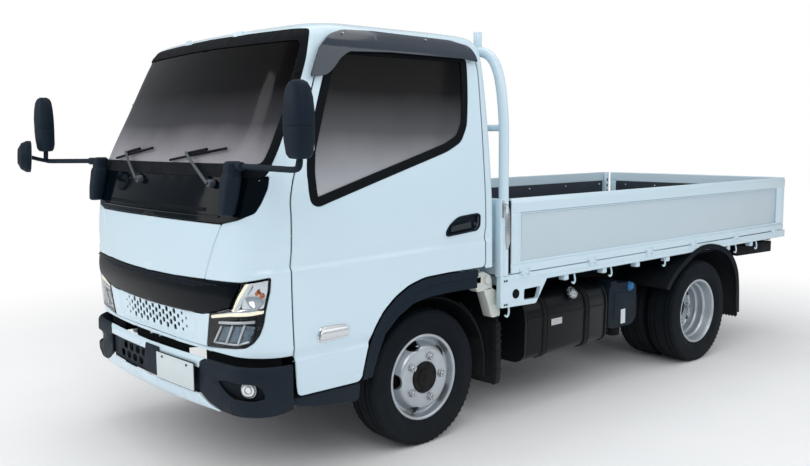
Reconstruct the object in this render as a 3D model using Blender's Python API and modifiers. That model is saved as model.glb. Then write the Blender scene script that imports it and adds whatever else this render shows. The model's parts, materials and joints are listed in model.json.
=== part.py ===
# Flatbed truck with a tilting cab and drop-side bed, as separate parts.
# Metres. X to the truck's left, Y to the rear, Z up. Every y below is measured from the front axle.
# The tyres' tops stay at TYRE_TOP under the arches, and the whole truck is lifted onto its tyres.
import math

import bmesh
import bpy
from mathutils import Matrix, Vector

# Main sizes
AXLE_TO_ORIGIN = -1.221
WHEELBASE = 2.505
TYRE_R = 0.348
TYRE_TOP = 0.696
HUB_Z = TYRE_TOP - TYRE_R
TYRE_W = 0.206
RIM_R = 0.2205
BEAD_R = RIM_R - 0.0175
FRONT_TYRE_X = 0.671
REAR_OUTER_X = 0.750
REAR_INNER_X = 0.516
KINGPIN_X = 0.600
RAIL_X = 0.280, 0.350
RAIL_Z = HUB_Z + 0.152, 0.660
RAIL_Y = -0.860, WHEELBASE + 1.115
SPRING_X = 0.320
TILT_Y = -0.945
TILT_Z = 0.640
CAB_WALL = 0.040
CAB_BOW = 0.045
CAB_BACK = 0.422
DOOR_GAP = 0.007
DOOR_AXIS = 0.845, -0.834
GLASS = 0.005
TOUCH = 0.0003
SEAT = 0.0005
PIN_R = 0.0102
BED_FRONT = 0.545
BED_BACK = WHEELBASE + 1.230
BED_HALF = 0.806
GATE_OUT = BED_HALF + 0.035
GATE_Z = 0.822, 1.226
DECK_Z = 0.815
GATE_THICK = 0.030
FLOOR_Z = 0.800, 0.830
RAIL_LOW = 0.770
CHASSIS_FIT = 0.545, WHEELBASE - 0.410

for old in list(bpy.data.objects):
    bpy.data.objects.remove(old, do_unlink=True)

SCENE = bpy.context.scene
TRUCK = bpy.data.collections.new("flatbed_truck")
CUTTERS = bpy.data.collections.new("cutters")
for group in (TRUCK, CUTTERS):
    SCENE.collection.children.link(group)
CUTTERS.hide_render = True

# Plain paints: name, colour, metallic, roughness
PAINTS = {
    "white_paint": ((0.80, 0.84, 0.87), 0.0, 0.3),
    "black_plastic": ((0.03, 0.035, 0.045), 0.0, 0.5),
    "gloss_black": ((0.01, 0.012, 0.016), 0.0, 0.15),
    "chassis_black": ((0.02, 0.02, 0.022), 0.1, 0.6),
    "tyre_rubber": ((0.015, 0.015, 0.016), 0.0, 0.85),
    "silver_steel": ((0.55, 0.57, 0.60), 0.7, 0.4),
    "cast_iron": ((0.08, 0.08, 0.085), 0.6, 0.6),
    "tank_paint": ((0.04, 0.042, 0.045), 0.2, 0.45),
    "dark_glass": ((0.02, 0.02, 0.025), 0.0, 0.05),
    "lamp_glass": ((0.75, 0.78, 0.80), 0.2, 0.1),
    "red_lens": ((0.5, 0.02, 0.02), 0.0, 0.2),
    "floor_grey": ((0.10, 0.11, 0.12), 0.2, 0.6),
    "seat_cloth": ((0.05, 0.055, 0.06), 0.0, 0.9),
    "milky_plastic": ((0.75, 0.76, 0.72), 0.0, 0.4),
    "mirror_silver": ((0.6, 0.62, 0.65), 0.9, 0.1),
}


def paint(name, part):
    colour, metallic, rough = PAINTS[name]
    made = bpy.data.materials.new(f"{part}_{name}")
    made.use_nodes = True
    shader = made.node_tree.nodes["Principled BSDF"]
    shader.inputs["Base Color"].default_value = (*colour, 1.0)
    shader.inputs["Metallic"].default_value = metallic
    shader.inputs["Roughness"].default_value = rough
    return made


# Joint axes, as empties that carry the moving parts
AXES = {}


def axis(name, point, parent=None):
    empty = bpy.data.objects.new(name, None)
    TRUCK.objects.link(empty)
    empty.location = point
    if parent is not None:
        empty.parent = AXES[parent]
        empty.matrix_parent_inverse = Matrix.Translation(-Vector(AXES[parent]["at"]))
    empty["at"] = Vector(point)
    AXES[name] = empty
    return empty


def hang(part, name):
    part.parent = AXES[name]
    part.matrix_parent_inverse = Matrix.Translation(-Vector(AXES[name]["at"]))
    return part


# Solid makers
def raw(mesh_data, name):
    made = bpy.data.objects.new(name, mesh_data)
    CUTTERS.objects.link(made)
    made.display_type = "WIRE"
    made.hide_render = True
    hang(made, "truck")
    return made


def from_bmesh(bm, name):
    bmesh.ops.recalc_face_normals(bm, faces=bm.faces)
    data = bpy.data.meshes.new(name)
    bm.to_mesh(data)
    bm.free()
    return raw(data, name)


def chamfer(bm, width, keep=None):
    edges = [e for e in bm.edges if keep is None or keep(e)]
    bmesh.ops.bevel(bm, geom=edges, offset=width, segments=1, affect="EDGES", profile=0.5)


def block(x, y, z, bevel=0.0, name="block"):
    bm = bmesh.new()
    size = Matrix.Diagonal((x[1] - x[0], y[1] - y[0], z[1] - z[0], 1))
    place = Matrix.Translation(((x[0] + x[1]) / 2, (y[0] + y[1]) / 2, (z[0] + z[1]) / 2))
    bmesh.ops.create_cube(bm, size=1, matrix=place @ size)
    if bevel:
        chamfer(bm, bevel)
    return from_bmesh(bm, name)


def prism(along, span, outline, bevel=0.0, name="prism"):
    """A flat outline pushed along x (outline in y, z), y (x, z) or z (x, y)."""
    low, high = sorted(span)
    bm = bmesh.new()
    if along == "x":
        ring = [bm.verts.new((low, a, b)) for a, b in outline]
        push = Vector((high - low, 0, 0))
    elif along == "y":
        ring = [bm.verts.new((a, low, b)) for a, b in outline]
        push = Vector((0, high - low, 0))
    else:
        ring = [bm.verts.new((a, b, low)) for a, b in outline]
        push = Vector((0, 0, high - low))
    face = bm.faces.new(ring)
    made = bmesh.ops.extrude_face_region(bm, geom=[face])["geom"]
    bmesh.ops.translate(bm, vec=push, verts=[v for v in made if isinstance(v, bmesh.types.BMVert)])
    if bevel:
        chamfer(bm, bevel)
    return from_bmesh(bm, name)


def rod(start, end, radius, sides=10, end_radius=None, name="rod"):
    start, end = Vector(start), Vector(end)
    run = end - start
    turn = Vector((0, 0, 1)).rotation_difference(run).to_matrix().to_4x4()
    bm = bmesh.new()
    bmesh.ops.create_cone(
        bm,
        cap_ends=True,
        segments=sides,
        radius1=radius,
        radius2=radius if end_radius is None else end_radius,
        depth=run.length,
        matrix=Matrix.Translation((start + end) / 2) @ turn,
    )
    return from_bmesh(bm, name)


def tube(points, radius, sides=2, name="tube", bend=0.0):
    """A round bar through the points; bend rounds its corners."""
    path = [Vector(p) for p in points]
    if bend:
        smooth = [path[0]]
        for before, here, after in zip(path, path[1:], path[2:]):
            into = (before - here).normalized() * min(bend, (before - here).length / 2)
            out = (after - here).normalized() * min(bend, (after - here).length / 2)
            for t in (0, 0.5, 1):
                a, b = (here + into).lerp(here, t), here.lerp(here + out, t)
                smooth.append(a.lerp(b, t))
        path = smooth + [path[-1]]
    curve = bpy.data.curves.new(name, "CURVE")
    curve.dimensions = "3D"
    curve.bevel_depth = radius
    curve.bevel_resolution = sides
    curve.use_fill_caps = True
    line = curve.splines.new("POLY")
    line.points.add(len(path) - 1)
    for spot, at in zip(line.points, path):
        spot.co = (*at, 1)
    guide = bpy.data.objects.new(name + "_path", curve)
    CUTTERS.objects.link(guide)
    bpy.context.view_layer.update()
    shaped = guide.evaluated_get(bpy.context.evaluated_depsgraph_get())
    data = bpy.data.meshes.new_from_object(shaped)
    bpy.data.objects.remove(guide, do_unlink=True)
    bm = bmesh.new()
    bm.from_mesh(data)
    bmesh.ops.remove_doubles(bm, verts=bm.verts, dist=1e-5)
    return from_bmesh(bm, name)


def turned(profile, steps, centre, name="turned", closed=False):
    """A shape turned about x through the centre. Profile rows are radius, distance outwards."""
    bm = bmesh.new()
    spots = [bm.verts.new((r, 0, -out)) for r, out in profile]
    for a, b in zip(spots, spots[1:]):
        bm.edges.new((a, b))
    if closed:
        bm.edges.new((spots[-1], spots[0]))
    data = bpy.data.meshes.new(name)
    bm.to_mesh(data)
    bm.free()
    made = bpy.data.objects.new(name, data)
    CUTTERS.objects.link(made)
    screw = made.modifiers.new("turn", "SCREW")
    screw.steps = steps
    screw.render_steps = steps
    screw.use_merge_vertices = True
    screw.merge_threshold = 0.0001
    bpy.context.view_layer.update()
    shaped = made.evaluated_get(bpy.context.evaluated_depsgraph_get())
    whole = bpy.data.meshes.new_from_object(shaped)
    bpy.data.objects.remove(made, do_unlink=True)
    side = 1 if centre[0] >= 0 else -1
    turn = Matrix(((0, 0, -side, 0), (side, 0, 0, 0), (0, 1, 0, 0), (0, 0, 0, 1)))
    whole.transform(Matrix.Translation(centre) @ turn)
    bm = bmesh.new()
    bm.from_mesh(whole)
    return from_bmesh(bm, name)


def combine(target, tools, how):
    """A live Boolean for each tool; tools stay among the cutters."""
    for tool in tools:
        step = target.modifiers.new(how.lower(), "BOOLEAN")
        step.operation = how
        step.solver = "EXACT"
        step.object = tool
    return target


def fuse(target, *tools):
    return combine(target, tools, "UNION")


def cut(target, *tools):
    return combine(target, tools, "DIFFERENCE")


def keep_inside(target, *tools):
    return combine(target, tools, "INTERSECT")


PARTS = {}


def part(name, body, finish, on="truck", soft=None):
    """Makes a body one named part of the truck, carried by a joint axis."""
    CUTTERS.objects.unlink(body)
    TRUCK.objects.link(body)
    body.name = name
    body.data.name = name
    body.display_type = "TEXTURED"
    body.hide_render = False
    body.data.materials.clear()
    body.data.materials.append(paint(finish, name))
    if soft is not None:
        body.data.shade_smooth()
        body.data.set_sharp_from_angle(angle=math.radians(soft))
    hang(body, on)
    PARTS[name] = body
    return body


def settled(body):
    """The body's shape after its Booleans, as a new mesh."""
    bpy.context.view_layer.update()
    shaped = body.evaluated_get(bpy.context.evaluated_depsgraph_get())
    return bpy.data.meshes.new_from_object(shaped)


def mirrored(body, name="mirrored"):
    """The same body on the truck's other side."""
    bm = bmesh.new()
    bm.from_mesh(settled(body))
    bmesh.ops.scale(bm, vec=(-1, 1, 1), verts=bm.verts)
    return from_bmesh(bm, name)


def both_sides(name, body, finish, on="truck", soft=None):
    """The left part and its mirrored right one. A joint name ends in the side."""
    right = mirrored(body)
    sides = on if isinstance(on, tuple) else (on, on)
    part(f"{name}_left", body, finish, sides[0], soft)
    part(f"{name}_right", right, finish, sides[1], soft)


def shifted(outline, dy=0.0, dz=0.0):
    return [(a + dy, b + dz) for a, b in outline]


def grown(outline, by):
    """The outline moved out by a distance at each corner."""
    count = len(outline)
    area = sum(
        outline[i][0] * outline[(i + 1) % count][1] - outline[(i + 1) % count][0] * outline[i][1]
        for i in range(count)
    )
    turn = 1 if area > 0 else -1
    moved = []
    for i in range(count):
        here = Vector(outline[i])
        into = (here - Vector(outline[i - 1])).normalized()
        out = (Vector(outline[(i + 1) % count]) - here).normalized()
        n1 = Vector((into.y, -into.x)) * turn
        n2 = Vector((out.y, -out.x)) * turn
        half = n1 + n2
        moved.append(tuple(here + half * (by / max(0.35, 1 + n1.dot(n2)))))
    return moved


# Joint axes
axis("truck", (0, 0, 0))
AXES["truck"].location = (0, AXLE_TO_ORIGIN, TYRE_R - HUB_Z)
axis("cab_tilt_axis", (0, TILT_Y, TILT_Z), "truck")
SIDES = (("left", 1), ("right", -1))
for side_name, s in SIDES:
    axis(f"door_{side_name}_axis", (s * DOOR_AXIS[0], DOOR_AXIS[1], 1.0), "cab_tilt_axis")
    axis(f"steer_{side_name}_axis", (s * KINGPIN_X, 0, HUB_Z), "truck")
    axis(f"wheel_front_{side_name}_axis", (s * FRONT_TYRE_X, 0, HUB_Z), f"steer_{side_name}_axis")
    axis(f"wheel_rear_{side_name}_axis", (s * REAR_OUTER_X, WHEELBASE, HUB_Z), "truck")
GATE_Y = 0.562, BED_BACK + 0.010
GATE_HINGES = 5
GATE_AXIS_X = GATE_OUT + 0.006
GATE_AXIS_Z = 0.816
TAIL_AXIS_Y = BED_BACK + 0.040
axis("gate_left_axis", (GATE_AXIS_X, 2.0, GATE_AXIS_Z), "truck")
axis("gate_right_axis", (-GATE_AXIS_X, 2.0, GATE_AXIS_Z), "truck")
axis("gate_rear_axis", (0, TAIL_AXIS_Y, GATE_AXIS_Z), "truck")
TIE_Y = 0.125
TIE_Z = HUB_Z - 0.0756
axis("tie_rod_axis", (KINGPIN_X, TIE_Y, TIE_Z), "steer_left_axis")

# Ladder frame
frame = block(RAIL_X, RAIL_Y, RAIL_Z, name="rail")
frame_tools = [block((-RAIL_X[1], -RAIL_X[0]), RAIL_Y, RAIL_Z)]
for y, width, low, high in (
    (-0.80, 0.08, 0.52, 0.62),
    (0.62, 0.07, 0.592, 0.655),
    (WHEELBASE - 0.905, 0.06, 0.53, 0.63),
    (WHEELBASE - 0.405, 0.06, 0.56, 0.65),
    (WHEELBASE + 0.595, 0.06, 0.53, 0.63),
    (WHEELBASE + 1.075, 0.06, 0.52, 0.64),
):
    frame_tools.append(block((-0.30, 0.30), (y - width / 2, y + width / 2), (low, high)))
for s in (1, -1):
    # Ears for the cab's tilt tube and arms for the bumper
    ear = prism(
        "x",
        (s * 0.285, s * 0.335),
        [(-0.84, 0.52), (-0.84, 0.658), (-0.92, 0.675), (-0.965, 0.670), (-0.980, 0.62), (-0.90, 0.50)],
    )
    frame_tools.append(ear)
    arm = prism(
        "x",
        (s * 0.290, s * 0.340),
        [(-0.85, 0.61), (-0.83, 0.51), (-0.85, 0.405), (-1.086, 0.385), (-1.086, 0.432), (-0.91, 0.45)],
    )
    frame_tools.append(arm)
for s in (1, -1):
    frame_tools.append(block(sorted((s * (0.260 + TOUCH), s * 0.290)), (-0.34, -0.24), (0.54, 0.62)))
frame_tools.append(rod((-0.43, TILT_Y, TILT_Z), (0.43, TILT_Y, TILT_Z), 0.018, 12))
part("chassis_frame", fuse(frame, *frame_tools), "chassis_black")

# Suspension: two leaf springs each side, held to the rails by their hangers
def leaf_spring(centre_y, half, low_z, eye_z, top_z):
    outline = []
    for i in range(7):
        t = i / 6
        outline.append((centre_y - half + 2 * half * t, low_z + (eye_z - low_z) * (2 * t - 1) ** 2))
    lower = outline
    thick = [(y, z + 0.014 + 0.030 * (1 - abs(2 * i / 6 - 1))) for i, (y, z) in enumerate(lower)]
    x = (SPRING_X - 0.030, SPRING_X + 0.030)
    spring = prism("x", x, lower + thick[::-1])
    tools = []
    for end in (-1, 1):
        y = centre_y + end * half
        tools.append(block((x[0] + 0.005, x[1] - 0.005), (y - 0.035, y + 0.035), (eye_z - 0.02, top_z)))
    return fuse(spring, *tools)


RAIL_UNDER = RAIL_Z[0] - TOUCH

# Front axle: dropped beam with kingpin ends and spring seats
PIN_HALF = 0.0485
# Rows: x, height of the beam's lower and upper edge over the wheel centre
BEAM = (
    (0.585, -0.033, 0.047),
    (0.530, -0.043, 0.032),
    (0.440, -0.098, -0.026),
)
beam_low = [(x, HUB_Z + low) for x, low, high in BEAM]
beam_high = [(x, HUB_Z + high) for x, low, high in BEAM]
front_beam = prism(
    "y",
    (-0.032, 0.032),
    beam_low + [(-x, z) for x, z in beam_low[::-1] + beam_high] + beam_high[::-1],
)
front_tools = []
front_spring = leaf_spring(0.0, 0.56, HUB_Z + 0.004, RAIL_Z[0] - 0.06, RAIL_UNDER)
front_tools += [front_spring, mirrored(front_spring)]
for s in (1, -1):
    front_tools.append(
        block(sorted((s * 0.288, s * 0.352)), (-0.06, 0.06), (HUB_Z - 0.038, HUB_Z + 0.010))
    )
    pin = rod((s * KINGPIN_X, 0, HUB_Z - PIN_HALF), (s * KINGPIN_X, 0, HUB_Z + PIN_HALF), 0.018, 12)
    front_tools.append(pin)
part("front_axle_and_springs", fuse(front_beam, *front_tools), "cast_iron")

# Rear axle: tube, final drive, brake drums and spring seats
DRUM_R = BEAD_R - 0.0575
REAR_TUBE_X = REAR_OUTER_X - 0.0645
rear_tube = rod((-REAR_TUBE_X, WHEELBASE, HUB_Z), (REAR_TUBE_X, WHEELBASE, HUB_Z), 0.045, 16)
rear_tools = [
    rod((-0.10, WHEELBASE, HUB_Z), (0.10, WHEELBASE, HUB_Z), 0.150, 16),
    rod((0, WHEELBASE - 0.23, HUB_Z + 0.02), (0, WHEELBASE, HUB_Z), 0.055, 12, 0.10),
]
rear_spring = leaf_spring(WHEELBASE, 0.62, HUB_Z + 0.054, RAIL_Z[0] - 0.055, RAIL_UNDER)
rear_tools += [rear_spring, mirrored(rear_spring)]
for s in (1, -1):
    rear_tools.append(
        block(
            sorted((s * 0.288, s * 0.352)),
            (WHEELBASE - 0.07, WHEELBASE + 0.07),
            (HUB_Z + 0.012, HUB_Z + 0.060),
        )
    )
    rear_tools.append(rod((s * 0.385, WHEELBASE, HUB_Z), (s * 0.415, WHEELBASE, HUB_Z), DRUM_R, 20))
part("rear_axle_and_springs", fuse(rear_tube, *rear_tools), "cast_iron", soft=35)

# Steering knuckle, with drum, spindle and steering arm
lower_eye = HUB_Z - 0.103, HUB_Z - PIN_HALF - TOUCH
upper_eye = HUB_Z + PIN_HALF + 0.0008, HUB_Z + 0.097
knuckle = block((0.585, 0.635), (-0.036, 0.036), lower_eye, 0.004)
ARM = [(0.640, 0.00), (0.596, 0.02), (0.580, TIE_Y), (0.588, TIE_Y + 0.018)]
ARM += [(0.612, TIE_Y + 0.018), (0.620, TIE_Y), (0.640, 0.04)]
knuckle_tools = [
    block((0.585, 0.635), (-0.036, 0.036), upper_eye, 0.004),
    block((0.6195, 0.650), (-0.036, 0.036), (HUB_Z - 0.098, HUB_Z + 0.092), 0.004),
    rod((0.640, 0, HUB_Z), (0.690, 0, HUB_Z), DRUM_R - 0.008, 24),
    rod((0.680, 0, HUB_Z), (FRONT_TYRE_X + 0.048 - TOUCH, 0, HUB_Z), 0.040, 12),
    prism("z", (TIE_Z - 0.0164, TIE_Z - 0.0004), ARM),
]
both_sides(
    "steering_knuckle",
    fuse(knuckle, *knuckle_tools),
    "cast_iron",
    ("steer_left_axis", "steer_right_axis"),
    35,
)
tie = rod((-KINGPIN_X, TIE_Y, TIE_Z + 0.0196), (KINGPIN_X, TIE_Y, TIE_Z + 0.0196), 0.012, 10)
tie_tools = [
    rod((s * KINGPIN_X, TIE_Y, TIE_Z), (s * KINGPIN_X, TIE_Y, TIE_Z + 0.0336), 0.018, 12)
    for s in (1, -1)
]
part("tie_rod", fuse(tie, *tie_tools), "cast_iron", "tie_rod_axis")

# Engine and drive line
part("engine_block", block((-0.26, 0.26), (-0.70, 0.22), (0.47, 0.945), 0.02), "cast_iron")
gearbox = block((-0.16, 0.16), (0.22 + TOUCH, 0.56), (0.42, 0.74), 0.03)
shaft = rod((0, 0.50, 0.56), (0, WHEELBASE - 0.2306, HUB_Z + 0.037), 0.035, 12)
part("gearbox_and_shaft", fuse(gearbox, shaft), "cast_iron")

# Tyres and wheels
HALF = TYRE_W / 2
LIP = HALF * 0.78
TYRE_PROFILE = (
    (TYRE_R, HALF * 0.74),
    (TYRE_R - 0.018, HALF * 0.94),
    (TYRE_R - 0.080, HALF),
    (RIM_R + 0.0015, LIP + 0.006),
    (RIM_R + 0.0015, LIP - 0.0006),
    (BEAD_R + 0.0006, LIP - 0.0006),
    (BEAD_R + 0.0006, -LIP + 0.0006),
    (RIM_R + 0.0015, -LIP + 0.0006),
    (RIM_R + 0.0015, -LIP - 0.006),
    (TYRE_R - 0.080, -HALF),
    (TYRE_R - 0.018, -HALF * 0.94),
    (TYRE_R, -HALF * 0.74),
)
TYRE_STEPS = 28
RIM_IN = RIM_R - 0.016
DISC_R = BEAD_R - 0.088
HOLE_R = BEAD_R - 0.053


def rim(disc_out, disc_in, hub_out):
    """A dished wheel: barrel, disc and hub, with distances from the tyre's middle outwards."""
    return (
        (0.0001, hub_out),
        (0.055, hub_out),
        (0.058, disc_out + 0.004),
        (DISC_R, disc_out),
        (HOLE_R, disc_out - 0.012),
        (RIM_IN - 0.018, disc_out - 0.026),
        (RIM_IN - 0.014, LIP - 0.01),
        (RIM_R - 0.010, LIP + 0.012),
        (RIM_R, LIP + 0.008),
        (RIM_R, LIP),
        (BEAD_R, LIP),
        (BEAD_R, -LIP),
        (RIM_R, -LIP),
        (RIM_R, -LIP - 0.008),
        (RIM_R - 0.010, -LIP - 0.010),
        (BEAD_R - 0.010, disc_in - 0.02),
        (HOLE_R, disc_in - 0.008),
        (DISC_R, disc_in),
        (0.0001, disc_in),
    )


RIM_STEPS = TYRE_STEPS
HOLE_COUNT = 8
HUB_STEP = REAR_OUTER_X - REAR_INNER_X
INNER_RIM = (
    (0.070, HUB_STEP - 0.060),
    (BEAD_R - 0.078, HUB_STEP - 0.0645),
    (BEAD_R - 0.038, 0.140),
    (BEAD_R - 0.023, LIP + 0.012),
    (RIM_R, LIP + 0.009),
    (RIM_R, LIP),
    (BEAD_R, LIP),
    (BEAD_R, -LIP),
    (RIM_R, -LIP),
    (RIM_R, -LIP - 0.009),
    (BEAD_R - 0.010, -LIP),
    (BEAD_R - 0.010, LIP - 0.010),
    (BEAD_R - 0.043, 0.120),
    (BEAD_R - 0.083, 0.150),
    (0.070, 0.150),
)

for side_name, s in SIDES:
    for place, x, y, disc_out, disc_in, hub_out in (
        ("front", FRONT_TYRE_X, 0.0, 0.060, 0.048, 0.090),
        ("rear", REAR_OUTER_X, WHEELBASE, -0.052, -0.064, 0.055),
    ):
        centre = (s * x, y, HUB_Z)
        joint = f"wheel_{place}_{side_name}_axis"
        wheel = turned(rim(disc_out, disc_in, hub_out), RIM_STEPS, centre)
        cutters = []
        for i in range(HOLE_COUNT):
            angle = 2 * math.pi * (i + 0.5) / HOLE_COUNT
            dy, dz = HOLE_R * math.cos(angle), HOLE_R * math.sin(angle)
            at = s * (x + disc_out - 0.02)
            hole = rod(
                (at - 0.05, y + dy, HUB_Z + dz), (at + 0.05, y + dy, HUB_Z + dz), 0.019, 6
            )
            cutters.append(hole)
        cut(wheel, *cutters)
        if place == "rear":
            inner = (s * REAR_INNER_X, y, HUB_Z)
            back = turned(INNER_RIM, RIM_STEPS, inner, closed=True)
            fuse(wheel, back)
            part(
                f"tyre_rear_inner_{side_name}",
                turned(TYRE_PROFILE, TYRE_STEPS, inner, closed=True),
                "tyre_rubber",
                joint,
                50,
            )
        part(f"rim_{place}_{side_name}", wheel, "silver_steel", joint, 35)
        label = "tyre_front" if place == "front" else "tyre_rear_outer"
        part(
            f"{label}_{side_name}",
            turned(TYRE_PROFILE, TYRE_STEPS, centre, closed=True),
            "tyre_rubber",
            joint,
            50,
        )

# Chassis fittings on the left: fuel tank, additive tank, washer and coolant bottles
def fitted(share):
    """A y in the room between the cab and the rear wheel, as a share of that room."""
    return CHASSIS_FIT[0] + share * (CHASSIS_FIT[1] - CHASSIS_FIT[0])


TANK_Y = fitted(0.113), fitted(0.610)
STRAP_Y = fitted(0.229), fitted(0.487)
ADDITIVE_Y = fitted(0.648), fitted(0.842)
BATTERY_Y = fitted(0.152), fitted(0.474)
SILENCER_Y = fitted(0.526), fitted(0.861)
tank = prism(
    "y",
    TANK_Y,
    [(0.44, 0.29), (0.76, 0.29), (0.795, 0.325), (0.80, 0.58), (0.77, 0.635), (0.70, 0.655)]
    + [(0.46, 0.655), (0.42, 0.63), (0.42, 0.31)],
)
CAP_Y = STRAP_Y[0] + 0.12
tank_tools = [rod((0.70, CAP_Y, 0.64), (0.735, CAP_Y, 0.675), 0.045, 14)]
for y in STRAP_Y:
    tank_tools.append(
        prism(
            "y",
            (y - 0.02, y + 0.02),
            [(0.3505, 0.52), (0.42, 0.29), (0.44, 0.284), (0.762, 0.284), (0.801, 0.322)]
            + [(0.806, 0.582), (0.773, 0.641), (0.702, 0.661), (0.3505, 0.655)],
        )
    )
part("fuel_tank", fuse(tank, *tank_tools), "tank_paint")
additive = block((0.50, 0.775), ADDITIVE_Y, (0.345, 0.64), 0.03)
additive_mid = sum(ADDITIVE_Y) / 2
additive_tools = [
    block((0.3505, 0.55), (additive_mid - 0.08, additive_mid + 0.08), (0.50, 0.60)),
    rod((0.66, additive_mid - 0.06, 0.62), (0.66, additive_mid - 0.06, 0.675), 0.035, 12),
]
part("additive_tank", fuse(additive, *additive_tools), "black_plastic")
bottles = block((0.680, 0.790), (0.384, 0.456), (0.655, 0.862), 0.015)
bottle_arm = block((0.70, 0.74), (0.45, 0.4997), (0.68, 0.70))
part("reservoirs", fuse(bottles, bottle_arm), "milky_plastic")

# Chassis fittings on the right: battery box and silencer
battery = block((-0.78, -0.42), BATTERY_Y, (0.34, 0.62), 0.01)
battery_arm = block((-0.43, -0.3505), (BATTERY_Y[0] + 0.12, BATTERY_Y[1] - 0.12), (0.52, 0.60))
part("battery_box", fuse(battery, battery_arm), "black_plastic")
silencer = rod((-0.58, SILENCER_Y[0], 0.43), (-0.58, SILENCER_Y[1], 0.43), 0.12, 16)
tail_y = SILENCER_Y[1] + 0.14
hanger_y = SILENCER_Y[0] + 0.14
silencer_tools = [
    rod((-0.58, SILENCER_Y[1] - 0.08, 0.43), (-0.50, tail_y, 0.40), 0.03, 10),
    block((-0.56, -0.3505), (hanger_y, hanger_y + 0.04), (0.515, 0.58)),
    rod((-0.58, SILENCER_Y[0] - 0.06, 0.43), (-0.58, SILENCER_Y[0] + 0.02, 0.43), 0.03, 10),
]
part("silencer", fuse(silencer, *silencer_tools), "silver_steel", soft=40)

# Mudguards and flaps
flap_front = prism(
    "y",
    (0.500, 0.506),
    [(0.60, 0.22), (BED_HALF - 0.002, 0.22), (BED_HALF - 0.002, 0.745), (0.60, 0.745)],
)
flap_arm = block((0.3503, 0.62), (0.506, 0.526), (0.56, 0.64))
both_sides("front_mud_flap", fuse(flap_front, flap_arm), "black_plastic")

# Rows: y from the rear axle, z
GUARD = (
    (-0.410, 0.300),
    (-0.395, 0.500),
    (-0.320, 0.645),
    (-0.215, 0.722),
    (-0.085, 0.748),
    (0.095, 0.748),
    (0.235, 0.726),
    (0.355, 0.670),
    (0.455, 0.575),
    (0.525, 0.450),
    (0.570, 0.230),
)
guard_out = [(WHEELBASE + y, z) for y, z in GUARD]
guard_in = [(WHEELBASE + y + 0.012 * (0.045 - y), z - 0.006) for y, z in GUARD]
guard_shell = prism("x", (0.400, BED_HALF + 0.036), guard_out + guard_in[::-1])
guard_tools = [
    block((0.3505, 0.42), (WHEELBASE - 0.380, WHEELBASE - 0.350), (0.56, 0.60)),
    block((0.3505, 0.42), (WHEELBASE + 0.425, WHEELBASE + 0.455), (0.56, 0.60)),
]
both_sides("rear_mudguard", fuse(guard_shell, *guard_tools), "black_plastic")

# Bumper: open at the top, outside the cab's lower front
def plan_curve(half_width, front, radius, end_y, inset=0.0, bow=CAB_BOW):
    half_width -= inset
    front += inset
    r = radius - inset
    half = [((half_width - r) * i / 4, front + bow * (i / 4) ** 2) for i in range(4)]
    for i in range(6):
        a = math.pi / 2 * i / 5
        half.append((half_width - r + r * math.sin(a), front + bow + r - r * math.cos(a)))
    half.append((half_width, end_y))
    return half


def both_halves(half):
    return [(-x, y) for x, y in half[:0:-1]] + half


bumper_out = both_halves(plan_curve(0.862, -1.118, 0.17, -0.858))
bumper_in = both_halves(plan_curve(0.862, -1.118, 0.17, -0.858, 0.014))
bumper = prism("z", (0.372, 0.590), bumper_out + bumper_in[::-1])
bumper_tools = [
    block((-0.36, 0.36), (-1.108, -1.0865), (0.372, 0.440)),
]
bumper_cut = prism(
    "y",
    (-1.3, -1.0),
    [(-0.52, 0.430), (-0.62, 0.520), (-0.60, 0.545), (0.60, 0.545), (0.62, 0.520), (0.52, 0.430)],
)
part(
    "front_bumper",
    cut(fuse(bumper, *bumper_tools), bumper_cut),
    "black_plastic",
    soft=35,
)
# Cab
# Rows: z, half width, front y at the middle, corner radius, back y, rear corner radius
CAB_RINGS = (
    (0.430, 0.837, -1.060, 0.165, 0.422, 0.030),
    (0.620, 0.845, -1.085, 0.170, 0.422, 0.030),
    (0.938, 0.847, -1.100, 0.175, 0.422, 0.030),
    (1.200, 0.844, -1.087, 0.170, 0.422, 0.030),
    (1.416, 0.829, -1.032, 0.130, 0.422, 0.030),
    (1.700, 0.799, -0.898, 0.115, 0.422, 0.030),
    (1.960, 0.763, -0.775, 0.105, 0.420, 0.040),
    (2.025, 0.742, -0.735, 0.105, 0.412, 0.055),
    (2.062, 0.702, -0.670, 0.110, 0.388, 0.080),
    (2.085, 0.600, -0.540, 0.110, 0.300, 0.090),
)


def hull(inset=0.0, low=None):
    """The cab's outer skin as a closed body, moved in by a distance."""
    bm = bmesh.new()
    loops = []
    for row, (z, w, front, r, back, q) in enumerate(CAB_RINGS):
        w, front, back = w - inset, front + inset, back - inset
        r, q = max(r - inset, 0.03), max(q - inset, 0.008)
        if row == 0:
            z = z - 0.02 if low is None else low
        elif row >= len(CAB_RINGS) - 3:
            z -= inset * (row - len(CAB_RINGS) + 4) / 3
        half = [((w - r) * i / 3, front + CAB_BOW * (i / 3) ** 2) for i in range(3)]
        for i in range(5):
            a = math.pi / 2 * i / 4
            half.append((w - r + r * math.sin(a), front + CAB_BOW + r - r * math.cos(a)))
        for i in range(2):
            a = math.pi / 2 * i
            half.append((w - q + q * math.cos(a), back - q + q * math.sin(a)))
        whole = [(-x, y) for x, y in half[:0:-1]] + half
        loops.append([bm.verts.new((x, y, z)) for x, y in whole])
    for lower, upper in zip(loops, loops[1:]):
        for i in range(len(lower)):
            j = (i + 1) % len(lower)
            bm.faces.new((lower[i], lower[j], upper[j], upper[i]))
    bm.faces.new(loops[0][::-1])
    bm.faces.new(loops[-1])
    bmesh.ops.triangulate(bm, faces=bm.faces)
    return from_bmesh(bm, "hull")


def skin(out, inner, *shapes):
    """A slab of the cab's skin between two depths, inside the given shapes."""
    slab = hull(out)
    keep_inside(slab, *shapes)
    return cut(slab, hull(inner, 0.30))


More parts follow.
